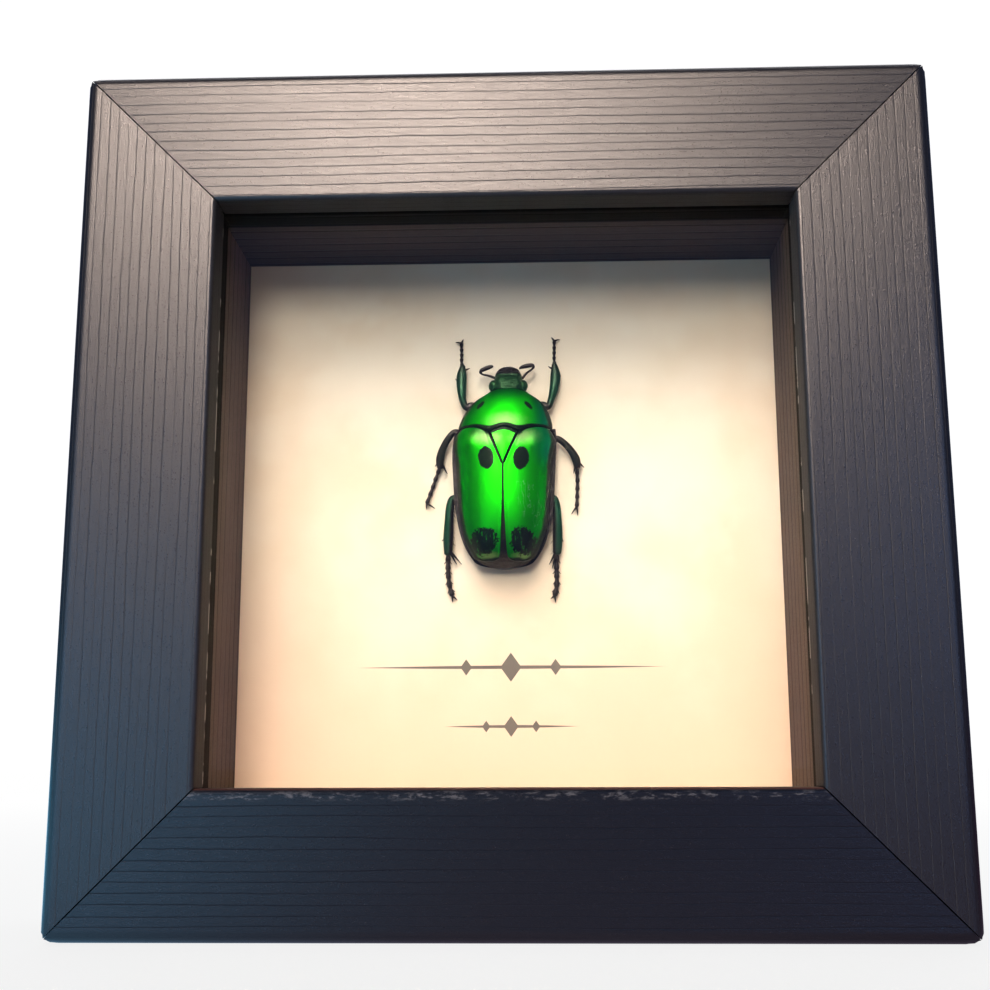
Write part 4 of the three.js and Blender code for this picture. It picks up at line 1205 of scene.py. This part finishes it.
# %% The body
BODY = {
    "end": -7.85, "base": 11.8, "neck": 0.5, "neck_from": 10.4, "tongue": 0.35, "under": 1.1, "ledge": 2.95,
    "side": 2.5, "belly": 0.25, "turn": -5.0, "lift": 0.8,
}
LEDGE = ((0.7, 0.4), (0.85, 0.1))


def wrinkles(x, y, height, scale, size):
    """Uneven rises and dips, twice as long across the beetle as along it."""
    return size * ripples.noise(Vector((x * 0.5, y, height * 0.5)) * scale)


def body_column(column, y):
    (under, under_in), (foot, foot_in) = LEDGE
    inner, outer = case_reach(y) - under_in, case_reach(y) - foot_in
    if column <= under:
        return math.sin(math.pi / 2 * (column / under)) * inner
    if column <= foot:
        return lerp(inner, outer, (column - under) / (foot - under))
    return lerp(outer, body_reach(y), (column - foot) / (1 - foot))


def body_rule(s, t, upper):
    column = 2 * s - 1
    straight = lerp(BODY["end"], BODY["base"], eased(t))
    across = math.copysign(body_column(abs(column), straight), column)
    y = straight + (shield_back(across) + BODY["tongue"] - BODY["base"]) * t**3
    share = abs(across) / body_reach(y)
    ledge = clamp((abs(column) - LEDGE[0][0]) / (LEDGE[1][0] - LEDGE[0][0]), 0, 1)
    neck = BODY["neck"] * clamp(y - BODY["neck_from"], 0, 1)
    top = lerp(back_height(across, y) - BODY["under"], BODY["ledge"], ledge) - neck
    rise = BODY["lift"] * clamp((y - BODY["turn"]) / (BODY["end"] - BODY["turn"]), 0, 1) ** 2
    low = BODY["belly"] + (BODY["side"] - BODY["belly"]) * min(share, 1) ** 3 + rise
    if upper:
        top = max(top, low + 0.05)
        return spine(y) + across, y, top + wrinkles(across, y, top, 2.6, 0.09), 0.0, 0.0
    return spine(y) + across, y, low, 0.0, 0.0


body = wear_finish(plate("body_shell", 60, 110, body_rule, 0.12), dark_shell)
settle(body, "dark_shell", "body")
print(body.name, len(body.data.polygons), "faces")

# %% [markdown]
# The head is a flat, square-ended box with a raised front rim and a rough, pitted skin. The eyes are
# smooth half balls at its back corners, mostly hidden under the shield.

# %% The head
HEAD = {"back": 18.2, "front": 22.35, "side": 2.6, "under": 2.5, "rim_at": 21.4}
EYE = {"radius": 0.85, "aside": 2.15, "y": 19.3, "height": 3.5, "stretch": (0.9, 1.0, 1.1), "rings": 14}
head_reach = through((18, 2.7), (19.3, 2.45), (20.4, 2.15), (21.4, 1.9), (22, 1.5), (22.35, 0.9))
head_ridge = through((18, 5.1), (19.8, 4.9), (21.2, 4.1), (21.7, 3.7), (22.35, 3.3))


def head_rule(s, t, upper):
    share = math.sin(math.pi * (s - 0.5))
    y = lerp(HEAD["back"], HEAD["front"], t)
    across = share * head_reach(y)
    dome = math.sqrt(max(0, 1 - share**4))
    if not upper:
        return spine(y) + across, y, HEAD["under"] - dome, 0.0, 0.0
    top = HEAD["side"] + (head_ridge(y) - HEAD["side"]) * dome
    rim_at = HEAD["rim_at"] - 0.25 * share * share
    top += 0.28 * bell(y - rim_at, 0.14) * dome - 0.18 * bell(y - rim_at + 0.5, 0.3) * dome
    rough = wrinkles(across, y, top, 2.2, 0.12) + wrinkles(across, y + 9, top, 5.0, 0.05)
    front = clamp((y - rim_at - 0.2) / 0.3, 0, 1)
    top += rough * (1 + 2.2 * front) * dome
    return spine(y) + across, y, top, 0.0, 0.0


def eye_mesh(hand):
    """A stretched ball at one side of the head."""
    mesh = bpy.data.meshes.new("eye")
    work = bmesh.new()
    rings, radius = EYE["rings"], EYE["radius"] * MM
    bmesh.ops.create_uvsphere(work, u_segments=2 * rings, v_segments=rings, radius=radius)
    bmesh.ops.scale(work, vec=EYE["stretch"], verts=work.verts)
    place = on_card(spine(EYE["y"]) + hand * EYE["aside"], EYE["y"], EYE["height"])
    bmesh.ops.translate(work, vec=place, verts=work.verts)
    work.to_mesh(mesh)
    work.free()
    return mesh


def merged(name, meshes):
    """Several closed meshes as one piece."""
    work = bmesh.new()
    for mesh in meshes:
        work.from_mesh(mesh)
    whole = bpy.data.meshes.new(name)
    work.to_mesh(whole)
    work.free()
    return finished(name, whole)


head_plate = plate("head plate", 56, 56, head_rule, 0.08)
head = merged("head_shell", [head_plate.data, eye_mesh(-1), eye_mesh(1)])
bpy.data.objects.remove(head_plate)
settle(wear_finish(head, dark_shell), "dark_shell", "head")
print(head.name, len(head.data.polygons), "faces")

# %% [markdown]
# Legs and antennae are tubes with an oval section that swells and narrows along a path. A few stations
# along the limb give its place, half its width and half its thickness, and a smooth curve runs through
# them. The claws and the spurs are small curved spikes of the same kind.

# %% Tubes that follow stations
def catmull(points, pieces):
    """A smooth row of stations through the given ones."""
    whole = []
    last = len(points) - 1
    for i in range(last):
        before, after = points[max(i - 1, 0)], points[min(i + 2, last)]
        for k in range(pieces):
            t = k / pieces
            whole.append([
                0.5 * (
                    2 * b + (c - a) * t + (2 * a - 5 * b + 4 * c - d) * t * t
                    + (3 * b - a - 3 * c + d) * t**3
                )
                for a, b, c, d in zip(before, points[i], points[i + 1], after)
            ])
    whole.append(list(points[last]))
    return whole


def round_end(tip, beside):
    """One more, smaller station beyond the tip, which rounds the end of a tube."""
    back = (Vector(tip[:3]) - Vector(beside[:3])).normalized() * min(tip[3], tip[4]) * 0.7
    return [*(Vector(tip[:3]) + back), tip[3] * 0.45, tip[4] * 0.45]


print("stations in a smooth row of three with four steps each:", len(catmull([[0], [1], [2]], 4)))

# %% [markdown]
# A tube is a ring of points round each station, joined to the next ring, and closed at both ends. A
# spike is a short tube that thins to a point.

# %% Tubes and spikes
def tube(name, stations, sides=20, sheen=None, outer=0.0):
    """stations are (x, y, height, half width, half thickness). sheen gives each its share of green,
    and outer, if not 0, keeps the green to one side: 1 for the right of the way along, -1 the left."""
    sheen = sheen or [0.0] * len(stations)
    first, last = round_end(stations[0], stations[1]), round_end(stations[-1], stations[-2])
    stations = [first, *stations, last]
    sheen = [sheen[0], *sheen, sheen[-1]]
    last = len(stations) - 1
    points, shares = [], []
    for i, station in enumerate(stations):
        middle = Vector(station[:3])
        along = (Vector(stations[min(i + 1, last)][:3]) - Vector(stations[max(i - 1, 0)][:3])).normalized()
        across = along.cross(Vector((0, 0, 1))).normalized()
        upward = across.cross(along)
        for k in range(sides):
            angle = 2 * math.pi * k / sides
            point = middle + across * math.cos(angle) * station[3] + upward * math.sin(angle) * station[4]
            points.append(on_card(*point))
            shares.append(sheen[i] * clamp(1 + 1.7 * outer * math.cos(angle), 0, 1))
    faces = [
        (i * sides + k, i * sides + (k + 1) % sides, (i + 1) * sides + (k + 1) % sides, (i + 1) * sides + k)
        for i in range(last) for k in range(sides)
    ]
    faces.append(tuple(range(sides)))
    faces.append(tuple(last * sides + k for k in range(sides)))
    mesh = bpy.data.meshes.new(name)
    mesh.from_pydata(points, [], faces)
    mesh.attributes.new("sheen", "FLOAT", "POINT").data.foreach_set("value", shares)
    outwards(mesh)
    return mesh


POINT = 0.05
SPIKE_SIDES = 8


def spike(start, end, root, droop=0.0):
    """A small spike, which can curve down towards the card."""
    middle = [(a + b) / 2 for a, b in zip(start, end)]
    middle[2] += droop
    row = [[*start, root, root], [*middle, root * 0.72, root * 0.72], [*end, POINT, POINT]]
    return tube("spike", catmull(row, 4), SPIKE_SIDES)


print("a spike ends", 2 * POINT, "mm thick")

# %% [markdown]
# A beetle's foot is a string of five short joints, each a little cone that widens towards the next. The
# rule is simple, so Geometry Nodes draw it: a smooth curve through the route of the foot, a radius that
# starts again at every joint, and a circle swept along it. The input is only the route.

# %% The tree that makes a jointed foot
FOOT_INPUTS = {
    "Route": "Geometry", "Joints": "Int", "Root": "Float", "Swell": "Float", "Finish": "Material",
}
FOOT_OUTPUTS = {"Foot": "Geometry"}
jointed_foot, given, wanted = new_group("jointed foot", "GeometryNodeTree", FOOT_INPUTS, FOOT_OUTPUTS)
route = put(jointed_foot, "GeometryNodeMeshToCurve", (given["Route"],))
route = put(jointed_foot, "GeometryNodeCurveSplineType", {"Curve": route}, spline_type="CATMULL_ROM")
route = put(jointed_foot, "GeometryNodeResampleCurve", {"Curve": route, "Count": 61})
share = put(jointed_foot, "GeometryNodeSplineParameter", out="Factor")
joint = calc(jointed_foot, "FRACT", calc(jointed_foot, "MULTIPLY", share, given["Joints"]))
swollen = step(jointed_foot, joint, 0.1, 0.8)
waist = step(jointed_foot, joint, 0.86, 1.0, 1.0, 0.0)
thick = calc(jointed_foot, "MULTIPLY", swollen, waist)
radius = calc(jointed_foot, "MULTIPLY_ADD", thick, given["Swell"], given["Root"])
circle = put(jointed_foot, "GeometryNodeCurvePrimitiveCircle", {"Resolution": 14, "Radius": 1.0})
mesh = put(
    jointed_foot, "GeometryNodeCurveToMesh",
    {"Curve": route, "Profile Curve": circle, "Scale": radius, "Fill Caps": True},
)
mesh = put(jointed_foot, "GeometryNodeRealizeInstances", (mesh,))
mesh = put(jointed_foot, "GeometryNodeSetMaterial", {"Geometry": mesh, "Material": given["Finish"]})
fill(jointed_foot, wanted["Foot"], mesh)
print("nodes in the foot tree:", len(jointed_foot.nodes))

# %% [markdown]
# Fine hairs fringe the inner side of the hind shins. Here the rule is chance within limits: points along
# a line, and on each a thin cone that leans by a random amount. The seed is fixed, so the fringe is the
# same every time.

# %% The tree that makes a fringe of hairs
FRINGE_INPUTS = {
    "Line": "Geometry", "Count": "Int", "Length": "Float", "Thickness": "Float", "Lean": "Vector",
    "Seed": "Int", "Finish": "Material",
}
fringe, given, wanted = new_group("fringe", "GeometryNodeTree", FRINGE_INPUTS, {"Hairs": "Geometry"})
line = put(fringe, "GeometryNodeMeshToCurve", (given["Line"],))
line = put(fringe, "GeometryNodeResampleCurve", {"Curve": line, "Count": given["Count"]})
points = put(fringe, "GeometryNodeCurveToPoints", {"Curve": line, "Count": given["Count"]})
hair = put(
    fringe, "GeometryNodeMeshCone",
    {"Vertices": 5, "Radius Top": 0.15, "Radius Bottom": 1.0, "Depth": 1.0},
)
thin = together(fringe, given["Thickness"], given["Thickness"], given["Length"])
hair = put(fringe, "GeometryNodeTransform", {"Geometry": hair, "Scale": thin})
SPREAD_LOW, SPREAD_HIGH = (-0.35, -0.35, -0.35), (0.35, 0.35, 0.35)
spread = put(
    fringe, "FunctionNodeRandomValue", {0: SPREAD_LOW, 1: SPREAD_HIGH, "Seed": given["Seed"]},
    data_type="FLOAT_VECTOR",
)
heading = put(fringe, "ShaderNodeVectorMath", (given["Lean"], spread), operation="ADD")
aimed = put(fringe, "FunctionNodeAlignRotationToVector", {"Vector": heading}, axis="Z")
SIZE_LOW, SIZE_HIGH = 0.55, 1.25
size = put(
    fringe, "FunctionNodeRandomValue", {2: SIZE_LOW, 3: SIZE_HIGH, "Seed": given["Seed"]},
    out=1, data_type="FLOAT",
)
hairs = put(
    fringe, "GeometryNodeInstanceOnPoints",
    {"Points": points, "Instance": hair, "Rotation": aimed, "Scale": together(fringe, size, size, size)},
)
hairs = put(fringe, "GeometryNodeRealizeInstances", (hairs,))
hairs = put(fringe, "GeometryNodeSetMaterial", {"Geometry": hairs, "Material": given["Finish"]})
fill(fringe, wanted["Hairs"], hairs)
print("nodes in the fringe tree:", len(fringe.nodes))


def drawn_line(name, points):
    """An open line through points on the card, as the input of a tree."""
    mesh = bpy.data.meshes.new(name)
    mesh.from_pydata([on_card(*p) for p in points], [(i, i + 1) for i in range(len(points) - 1)], [])
    return mesh


# %% [markdown]
# The measures of each leg, in the beetle's own measure: thigh, knee and shin as one tube, then the route
# of the foot, the tips of the two claws, and the start and tip of each spur. No two legs lie alike,
# because the specimen was set by hand.

# %% Measures of the legs
LEGS = {
    "front_left": {
        "shin": [
            [-4.2, 15.6, 1.85, 0.7, 0.45], [-5.5, 16.6, 1.85, 0.75, 0.45],
            [-6.4, 16.6, 1.85, 0.55, 0.45], [-6.95, 17.6, 1.85, 0.5, 0.45],
            [-7.15, 19.5, 1.85, 0.7, 0.45], [-7.15, 21.5, 1.6, 0.75, 0.4], [-7, 23.1, 1.4, 0.4, 0.35],
        ],
        "foot": [[-7.05, 22.9, 1.2], [-7.2, 23.9, 0.9], [-7.2, 25.3, 0.75], [-7.25, 26.9, 0.6]],
        "claws": [[-8.15, 27.15, 0.35], [-6.95, 27.6, 0.35]],
        "spurs": [[[-6.8, 22.4, 1.5], [-5.95, 22.75, 1.4]], [[-7.6, 20.6, 1.6], [-8.1, 21.1, 1.5]]],
    },
    "front_right": {
        "shin": [
            [3.8, 15.6, 1.85, 0.7, 0.45], [4.8, 16.6, 1.85, 0.75, 0.45], [5.8, 16.6, 1.85, 0.55, 0.45],
            [6.25, 17.6, 1.85, 0.5, 0.45], [6.75, 19.5, 1.85, 0.7, 0.45], [6.95, 21.5, 1.6, 0.75, 0.4],
            [6.8, 23.2, 1.4, 0.4, 0.35],
        ],
        "foot": [[6.85, 23, 1.2], [6.8, 24, 0.9], [6.8, 25.4, 0.75], [6.85, 27.1, 0.6]],
        "claws": [[6.4, 27.75, 0.35], [7.7, 27.4, 0.35]],
        "spurs": [[[6.6, 22.4, 1.5], [5.9, 22.9, 1.4]], [[7.3, 20.9, 1.6], [7.75, 21.4, 1.5]]],
    },
    "middle_left": {
        "shin": [
            [-5.4, 9.6, 1.85, 0.8, 0.45], [-7.1, 11.9, 1.85, 0.8, 0.45], [-8.1, 12.75, 1.85, 0.5, 0.45],
            [-9.1, 11.8, 1.85, 0.5, 0.45], [-9.95, 10.2, 1.7, 0.55, 0.42], [-10.35, 8.7, 1.5, 0.62, 0.4],
            [-10.3, 7.5, 1.3, 0.5, 0.35],
        ],
        "foot": [[-10.35, 7.7, 1.1], [-10.9, 6.3, 0.8], [-11.6, 4.3, 0.65], [-12.35, 2.2, 0.6]],
        "claws": [[-12.45, 1.4, 0.35], [-11.15, 1.5, 0.35]],
        "spurs": [[[-10.5, 8.4, 1.4], [-11.1, 7.7, 1.3]], [[-10, 7.9, 1.3], [-9.3, 6.6, 1]]],
    },
    "middle_right": {
        "shin": [
            [4.4, 8.7, 1.85, 0.8, 0.45], [6, 10.8, 1.85, 0.8, 0.45], [7, 11.6, 1.85, 0.5, 0.45],
            [8.2, 10.85, 1.85, 0.5, 0.45], [9.2, 9.7, 1.7, 0.55, 0.42], [9.85, 8.5, 1.5, 0.62, 0.4],
            [10.05, 7.3, 1.3, 0.5, 0.35],
        ],
        "foot": [[10, 7.5, 1.1], [10.05, 5.9, 0.8], [10, 3.7, 0.65], [9.9, 1.5, 0.6]],
        "claws": [[9.1, 0.5, 0.35], [10.05, 0.3, 0.35]],
        "spurs": [[[10.15, 8.2, 1.4], [11.05, 7.3, 1.3]], [[9.75, 7.7, 1.3], [9.5, 6.5, 1]]],
    },
    "hind_left": {
        "shin": [
            [-4.8, -0.6, 1.5, 0.9, 0.45], [-7, 1.6, 1.85, 0.9, 0.45], [-8.3, 2.7, 1.85, 0.55, 0.45],
            [-8.8, 1.6, 1.85, 0.6, 0.45], [-9, -1, 1.85, 0.65, 0.45], [-9.1, -3.4, 1.6, 0.72, 0.45],
            [-9.1, -5.5, 1.4, 0.6, 0.4],
        ],
        "foot": [[-9.1, -5.3, 1.1], [-9.15, -7.6, 0.8], [-8.95, -10, 0.65], [-8.5, -11.6, 0.6]],
        "claws": [[-7.8, -12.2, 0.35], [-8.5, -12.5, 0.35]],
        "spurs": [
            [[-9.4, -3, 1.6], [-10, -3.6, 1.5]], [[-8.8, -5.3, 1.3], [-7.85, -7, 1]],
            [[-8.8, -5.1, 1.5], [-7.15, -7, 1.2]],
        ],
    },
    "hind_right": {
        "shin": [
            [2.9, -0.6, 1.5, 0.9, 0.45], [5.2, 1.6, 1.85, 0.9, 0.45], [6.4, 2.6, 1.85, 0.55, 0.45],
            [6.85, 1.5, 1.85, 0.6, 0.45], [7, -1, 1.85, 0.65, 0.45], [7, -3.4, 1.6, 0.72, 0.45],
            [6.9, -5.5, 1.4, 0.6, 0.4],
        ],
        "foot": [[6.85, -5.3, 1.1], [6.8, -7.6, 0.8], [6.8, -10.1, 0.65], [6.5, -11.7, 0.6]],
        "claws": [[5.9, -12.1, 0.35], [6.6, -12.6, 0.35]],
        "spurs": [
            [[7.3, -3.2, 1.6], [7.85, -3.8, 1.5]], [[6.7, -5.3, 1.3], [5.75, -7.1, 1]],
            [[6.8, -5.3, 1.3], [6.15, -7.7, 1]],
        ],
    },
}
print("legs:", len(LEGS), "with", sum(len(leg["spurs"]) for leg in LEGS.values()), "spurs")

# %% [markdown]
# The three pairs of legs differ in how thick their feet are, how far their thorns stand out, and how
# green their shins are. Spurs, claws and thorns have their thickness at the root.

# %% The build of the three pairs
SPUR = 0.2
CLAW = 0.17
CLAW_DROOP = 0.25
THORN = 0.11
FOOT_JOINTS = 5
PIECES = 6
BUILD = {
    "front": {
        "root": 0.17, "swell": 0.12, "thorn": 0.0, "outer": 0.0, "sheen": (0, 0, 0.1, 0.6, 0.6, 0.5, 0.2),
    },
    "middle": {
        "root": 0.22, "swell": 0.11, "thorn": 0.0, "outer": 0.0, "sheen": (0, 0, 0.05, 0.1, 0.1, 0.1, 0),
    },
    "hind": {
        "root": 0.28, "swell": 0.13, "thorn": 0.42, "outer": 1.0,
        "sheen": (0, 0.1, 0.4, 0.7, 0.7, 0.6, 0.3),
    },
}
FRINGE = {"count": 34, "length": 0.75, "thickness": 0.045}
print("hairs on each hind shin:", FRINGE["count"])

# %% [markdown]
# Small functions make a foot from its route, the thorns at its joints, and the fringe of a hind shin.
# The foot and the fringe come from their trees, and the thorns are spikes placed in a loop.

# %% Feet, thorns and hairs

def foot_mesh(route, root, swell):
    foot = grown(
        "foot", drawn_line("route", route), jointed_foot, Joints=FOOT_JOINTS, Root=root * MM,
        Swell=swell * MM, Finish=leg_shell,
    )
    mesh = foot.data
    outwards(mesh)
    bpy.data.objects.remove(foot)
    return mesh


def thorns(route, size, radius):
    """Two small thorns that point back from the end of each joint but the last."""
    row = catmull(route, 10)
    found = []
    for joint in range(1, FOOT_JOINTS):
        i = round(joint * (len(row) - 1) / FOOT_JOINTS)
        here = Vector(row[i])
        way = (Vector(row[i + 1]) - Vector(row[i - 1])).normalized()
        aside = way.cross(Vector((0, 0, 1))).normalized()
        for hand in (-1, 1):
            start = here + aside * hand * radius * 0.6
            found.append(spike(start, start + (aside * hand * 0.75 + way * 0.9) * size, THORN))
    return found


def hairs_mesh(shin, inward, seed):
    """The fringe on the inner side of a hind shin."""
    line = [(x + inward * width * 0.8, y, height) for x, y, height, width, _ in shin]
    hairs = grown(
        "hairs", drawn_line("hair line", line), fringe, Count=FRINGE["count"], Length=FRINGE["length"] * MM,
        Thickness=FRINGE["thickness"] * MM, Lean=(inward * 0.8, 0.1, -1.0), Seed=seed, Finish=leg_shell,
    )
    mesh = hairs.data
    bpy.data.objects.remove(hairs)
    return mesh


print("thorns on a hind foot:", 2 * (FOOT_JOINTS - 1))

# %% [markdown]
# Now the six legs. A foot, its claws, the spurs and the thorns are closed meshes of their own that reach
# into the shin, and they are gathered in one piece with it.

# %% The six legs
for number, (name, leg) in enumerate(LEGS.items()):
    pair, hand = name.split("_")
    build = BUILD[pair]
    towards_middle = 1 if hand == "left" else -1
    stations = catmull(leg["shin"], PIECES)
    shares = [row[0] for row in catmull([[share] for share in build["sheen"]], PIECES)]
    parts = [tube(f"shin {name}", stations, 20, shares, build["outer"] * towards_middle)]
    parts.append(foot_mesh(leg["foot"], build["root"], build["swell"]))
    parts += [spike(leg["foot"][-1], tip, CLAW, CLAW_DROOP) for tip in leg["claws"]]
    parts += [spike(start, end, SPUR) for start, end in leg["spurs"]]
    if build["thorn"]:
        parts += thorns(leg["foot"], build["thorn"], build["root"] + build["swell"])
    if pair == "hind":
        parts.append(hairs_mesh(leg["shin"][3:], towards_middle, number + 1))
    piece = merged(f"leg_shell_{name}", parts)
    settle(wear_finish(piece, leg_shell), "leg_shell", f"leg_{name}")
    print(piece.name, len(piece.data.polygons), "faces")

# %% [markdown]
# Each antenna is a short bent stalk that ends in a club of three thin leaves, folded together.

# %% The antennae
ANTENNAE = {
    "left": {
        "stalk": [
            [-2.1, 20.7, 3.1, 0.2, 0.2], [-3, 21.08, 3, 0.18, 0.18], [-3.9, 21.35, 2.85, 0.15, 0.15],
            [-4.3, 21.7, 2.8, 0.2, 0.3],
        ],
        "club": [[-4.4, 21.7], [-4, 22.05], [-2.9, 22.5], [-2.4, 22.6]],
    },
    "right": {
        "stalk": [
            [2, 20.6, 3.1, 0.2, 0.2], [2.6, 21.4, 3, 0.18, 0.18], [3.35, 22, 2.85, 0.15, 0.15],
            [3.7, 22.4, 2.8, 0.2, 0.3],
        ],
        "club": [[3.8, 22.4], [3.4, 22.7], [2.2, 22.5], [1.6, 22.25]],
    },
}
LEAF = {"heights": (2.58, 2.8, 3.02), "widths": (0.1, 0.26, 0.26, 0.1), "thickness": (0.09, 0.11, 0.13)}
for side_name, shape in ANTENNAE.items():
    parts = [tube("stalk", catmull(shape["stalk"], 6), 14)]
    for height, thick in zip(LEAF["heights"], LEAF["thickness"]):
        leaf = [[x, y, height, width, thick] for (x, y), width in zip(shape["club"], LEAF["widths"])]
        parts.append(tube("leaf", catmull(leaf, 6), 14))
    antenna = merged(f"feeler_{side_name}", parts)
    settle(wear_finish(antenna, leg_shell), "leg_shell", f"antenna_{side_name}")
    print(antenna.name, len(antenna.data.polygons), "faces")

# %% [markdown]
# The camera stands close, a little below the middle of the frame, and looks up at it, so the sides
# lean together towards the top. Its place, its direction and its lens were fitted to the corners of
# the frame and of the card. It has no blur of depth, and its picture isn't shifted.

# %% Camera
LENS = 49.43
CAMERA_PLACE = (0.00445, -0.18817, 0.02179)
LOOKING = (-0.033, 0.981, 0.1912)
TO_THE_RIGHT = (0.9994, 0.0342, -0.0029)
camera_data = bpy.data.cameras.new("camera")
camera_data.sensor_width = 36
camera_data.lens = LENS
camera = bpy.data.objects.new("camera", camera_data)
bpy.context.scene.collection.objects.link(camera)
right = Vector(TO_THE_RIGHT).normalized()
axis = Vector(LOOKING).normalized()
up = right.cross(axis).normalized()
right = axis.cross(up)
turn = Matrix((right, up, -axis)).transposed()
camera.matrix_world = Matrix.Translation(CAMERA_PLACE) @ turn.to_4x4()
bpy.context.scene.camera = camera
print(f"the camera stands {FACE * MM - CAMERA_PLACE[1]:.3f} m in front of the frame")

# %% [markdown]
# The frame is lit as in a small studio. One soft light in front reaches the card through the glass. A
# warm glow above it is seen only in the sheen of the wood, as the pale patch on the top rail. Three weak
# panels, two blue and one warm, do the same for the side rails. A black flag keeps a lamp off one
# piece: the card light and the panels off the glass, which would mirror them, and the glow off the
# bottom rail. The last light stands behind, for views of the back.

# %% Lights
def softbox(name, place, target, size, power, colour):
    """A square light that faces a point."""
    data = bpy.data.lights.new(name, "AREA")
    data.shape = "RECTANGLE"
    data.size, data.size_y = size
    data.energy = power
    data.color = colour
    lamp = bpy.data.objects.new(name, data)
    bpy.context.scene.collection.objects.link(lamp)
    lamp.location = place
    lamp.rotation_euler = (Vector(target) - Vector(place)).to_track_quat("-Z", "Y").to_euler()
    return lamp


def keep_off(lamp, piece):
    """Takes a piece out of a lamp's light, as a black flag does in a studio."""
    flagged = bpy.data.collections.new(f"not lit by {lamp.name}")
    flagged.objects.link(piece)
    flagged.collection_objects[0].light_linking.link_state = "EXCLUDE"
    lamp.light_linking.receiver_collection = flagged


card_light = softbox("card_light", (-0.06, -1.0, 0.26), (0, 0, 0.057), (0.2, 0.22), 4.3, (1.0, 0.94, 0.88))
card_light.visible_glossy = False
keep_off(card_light, pane)
glow = softbox("glow", (-0.107, -1.0, 0.64), (0, 0, 0.057), (0.3, 0.2), 15.0, (1.0, 0.81, 0.69))
glow.visible_diffuse = False
keep_off(glow, rails["bottom"])
side_panels = (
    softbox("cool_panel", (-0.52, -0.9, 0.12), (0, 0, 0.05), (0.34, 0.24), 1.1, (0.27, 0.58, 1.0)),
    softbox("warm_panel", (-0.42, -1.0, 0.36), (0, 0, 0.06), (0.2, 0.3), 0.5, (1.0, 0.74, 0.64)),
    softbox("blue_panel", (0.5, -0.9, 0.2), (0, 0, 0.05), (0.34, 0.34), 0.9, (0.3, 0.5, 1.0)),
)
for panel in side_panels:
    panel.visible_diffuse = False
    keep_off(panel, pane)
softbox("back_top", (0.0, 0.6, 0.9), (0, 0.3, 0), (1.2, 0.6), 5.0, (1.0, 1.0, 1.0))

# %% [markdown]
# The room around is white to the camera, and much dimmer as a source of light and in reflections, so
# that the black wood stays black.

# %% The room
world = bpy.data.worlds.new("studio")
world.use_nodes = True
bpy.context.scene.world = world
tree = world.node_tree
backdrop = put(tree, "ShaderNodeBackground", ((1, 1, 1, 1), 1.05))
soft = put(tree, "ShaderNodeBackground", ((0.8, 0.9, 0.96, 1), 0.3))
mirrored = put(tree, "ShaderNodeBackground", ((0.14, 0.2, 0.42, 1), 0.4))
glossy = put(tree, "ShaderNodeLightPath", out="Is Glossy Ray")
camera_ray = put(tree, "ShaderNodeLightPath", out="Is Camera Ray")
unseen = put(tree, "ShaderNodeMixShader", (glossy, soft, mirrored))
room = put(tree, "ShaderNodeMixShader", (camera_ray, unseen, backdrop))
tree.links.new(room, tree.nodes["World Output"].inputs["Surface"])
bpy.context.scene.view_settings.view_transform = "Standard"
print("material of the room:", world.name)

# %% [markdown]
# The floor is plain and pale. The low polished rails mirror the part of it just in front of them, so there it
# glows in reflections only: a painted reflection of blue light at the left that fades to a dim violet at the
# right, though no lamp is there. Farther in front it gives none, or the glass would show it.

# %% The floor
FLOOR_REACH = 3.0
REFLECTION_LEFT = (0.36, 1.3, 2.1, 1)
REFLECTION_MIDDLE = (0.28, 0.25, 0.36, 1)
REFLECTION_RIGHT = (0.12, 0.06, 0.12, 1)
floor_mesh = bpy.data.meshes.new("floor")
corners = [(x * FLOOR_REACH, y * FLOOR_REACH, 0) for x, y in ((-1, -1), (1, -1), (1, 1), (-1, 1))]
floor_mesh.from_pydata(corners, [], [(0, 1, 2, 3)])
floor = bpy.data.objects.new("floor", floor_mesh)
bpy.context.scene.collection.objects.link(floor)
pale, tree, shader = new_material("pale floor")
shader["Base Color"].default_value = (0.9, 0.9, 0.9, 1)
shader["Roughness"].default_value = 0.7
x, y, _ = apart(tree, object_place(tree))
reflection_colour = blend(tree, step(tree, x, -0.13, 0.0), REFLECTION_LEFT, REFLECTION_MIDDLE)
reflection_colour = blend(tree, step(tree, x, 0.0, 0.12), reflection_colour, REFLECTION_RIGHT)
# painted reflection: the floor glows only in reflections, blue at the left and dim violet at the right
painted_reflection = put(tree, "ShaderNodeEmission", (reflection_colour, step(tree, y, -0.7, -0.45)))
lit = put(tree, "ShaderNodeEmission", ((1, 1, 1, 1), 1.0))
glossy = put(tree, "ShaderNodeLightPath", out="Is Glossy Ray")
camera_ray = put(tree, "ShaderNodeLightPath", out="Is Camera Ray")
paler = calc(tree, "MULTIPLY", camera_ray, step(tree, y, -0.1, 0.6, 0.82, 1.0))
bright = put(tree, "ShaderNodeMixShader", (paler, tree.nodes["Principled BSDF"].outputs[0], lit))
seen = put(tree, "ShaderNodeMixShader", (glossy, bright, painted_reflection))
tree.links.new(seen, tree.nodes["Material Output"].inputs["Surface"])
floor.data.materials.append(pale)
print("floor:", 2 * FLOOR_REACH, "m square")
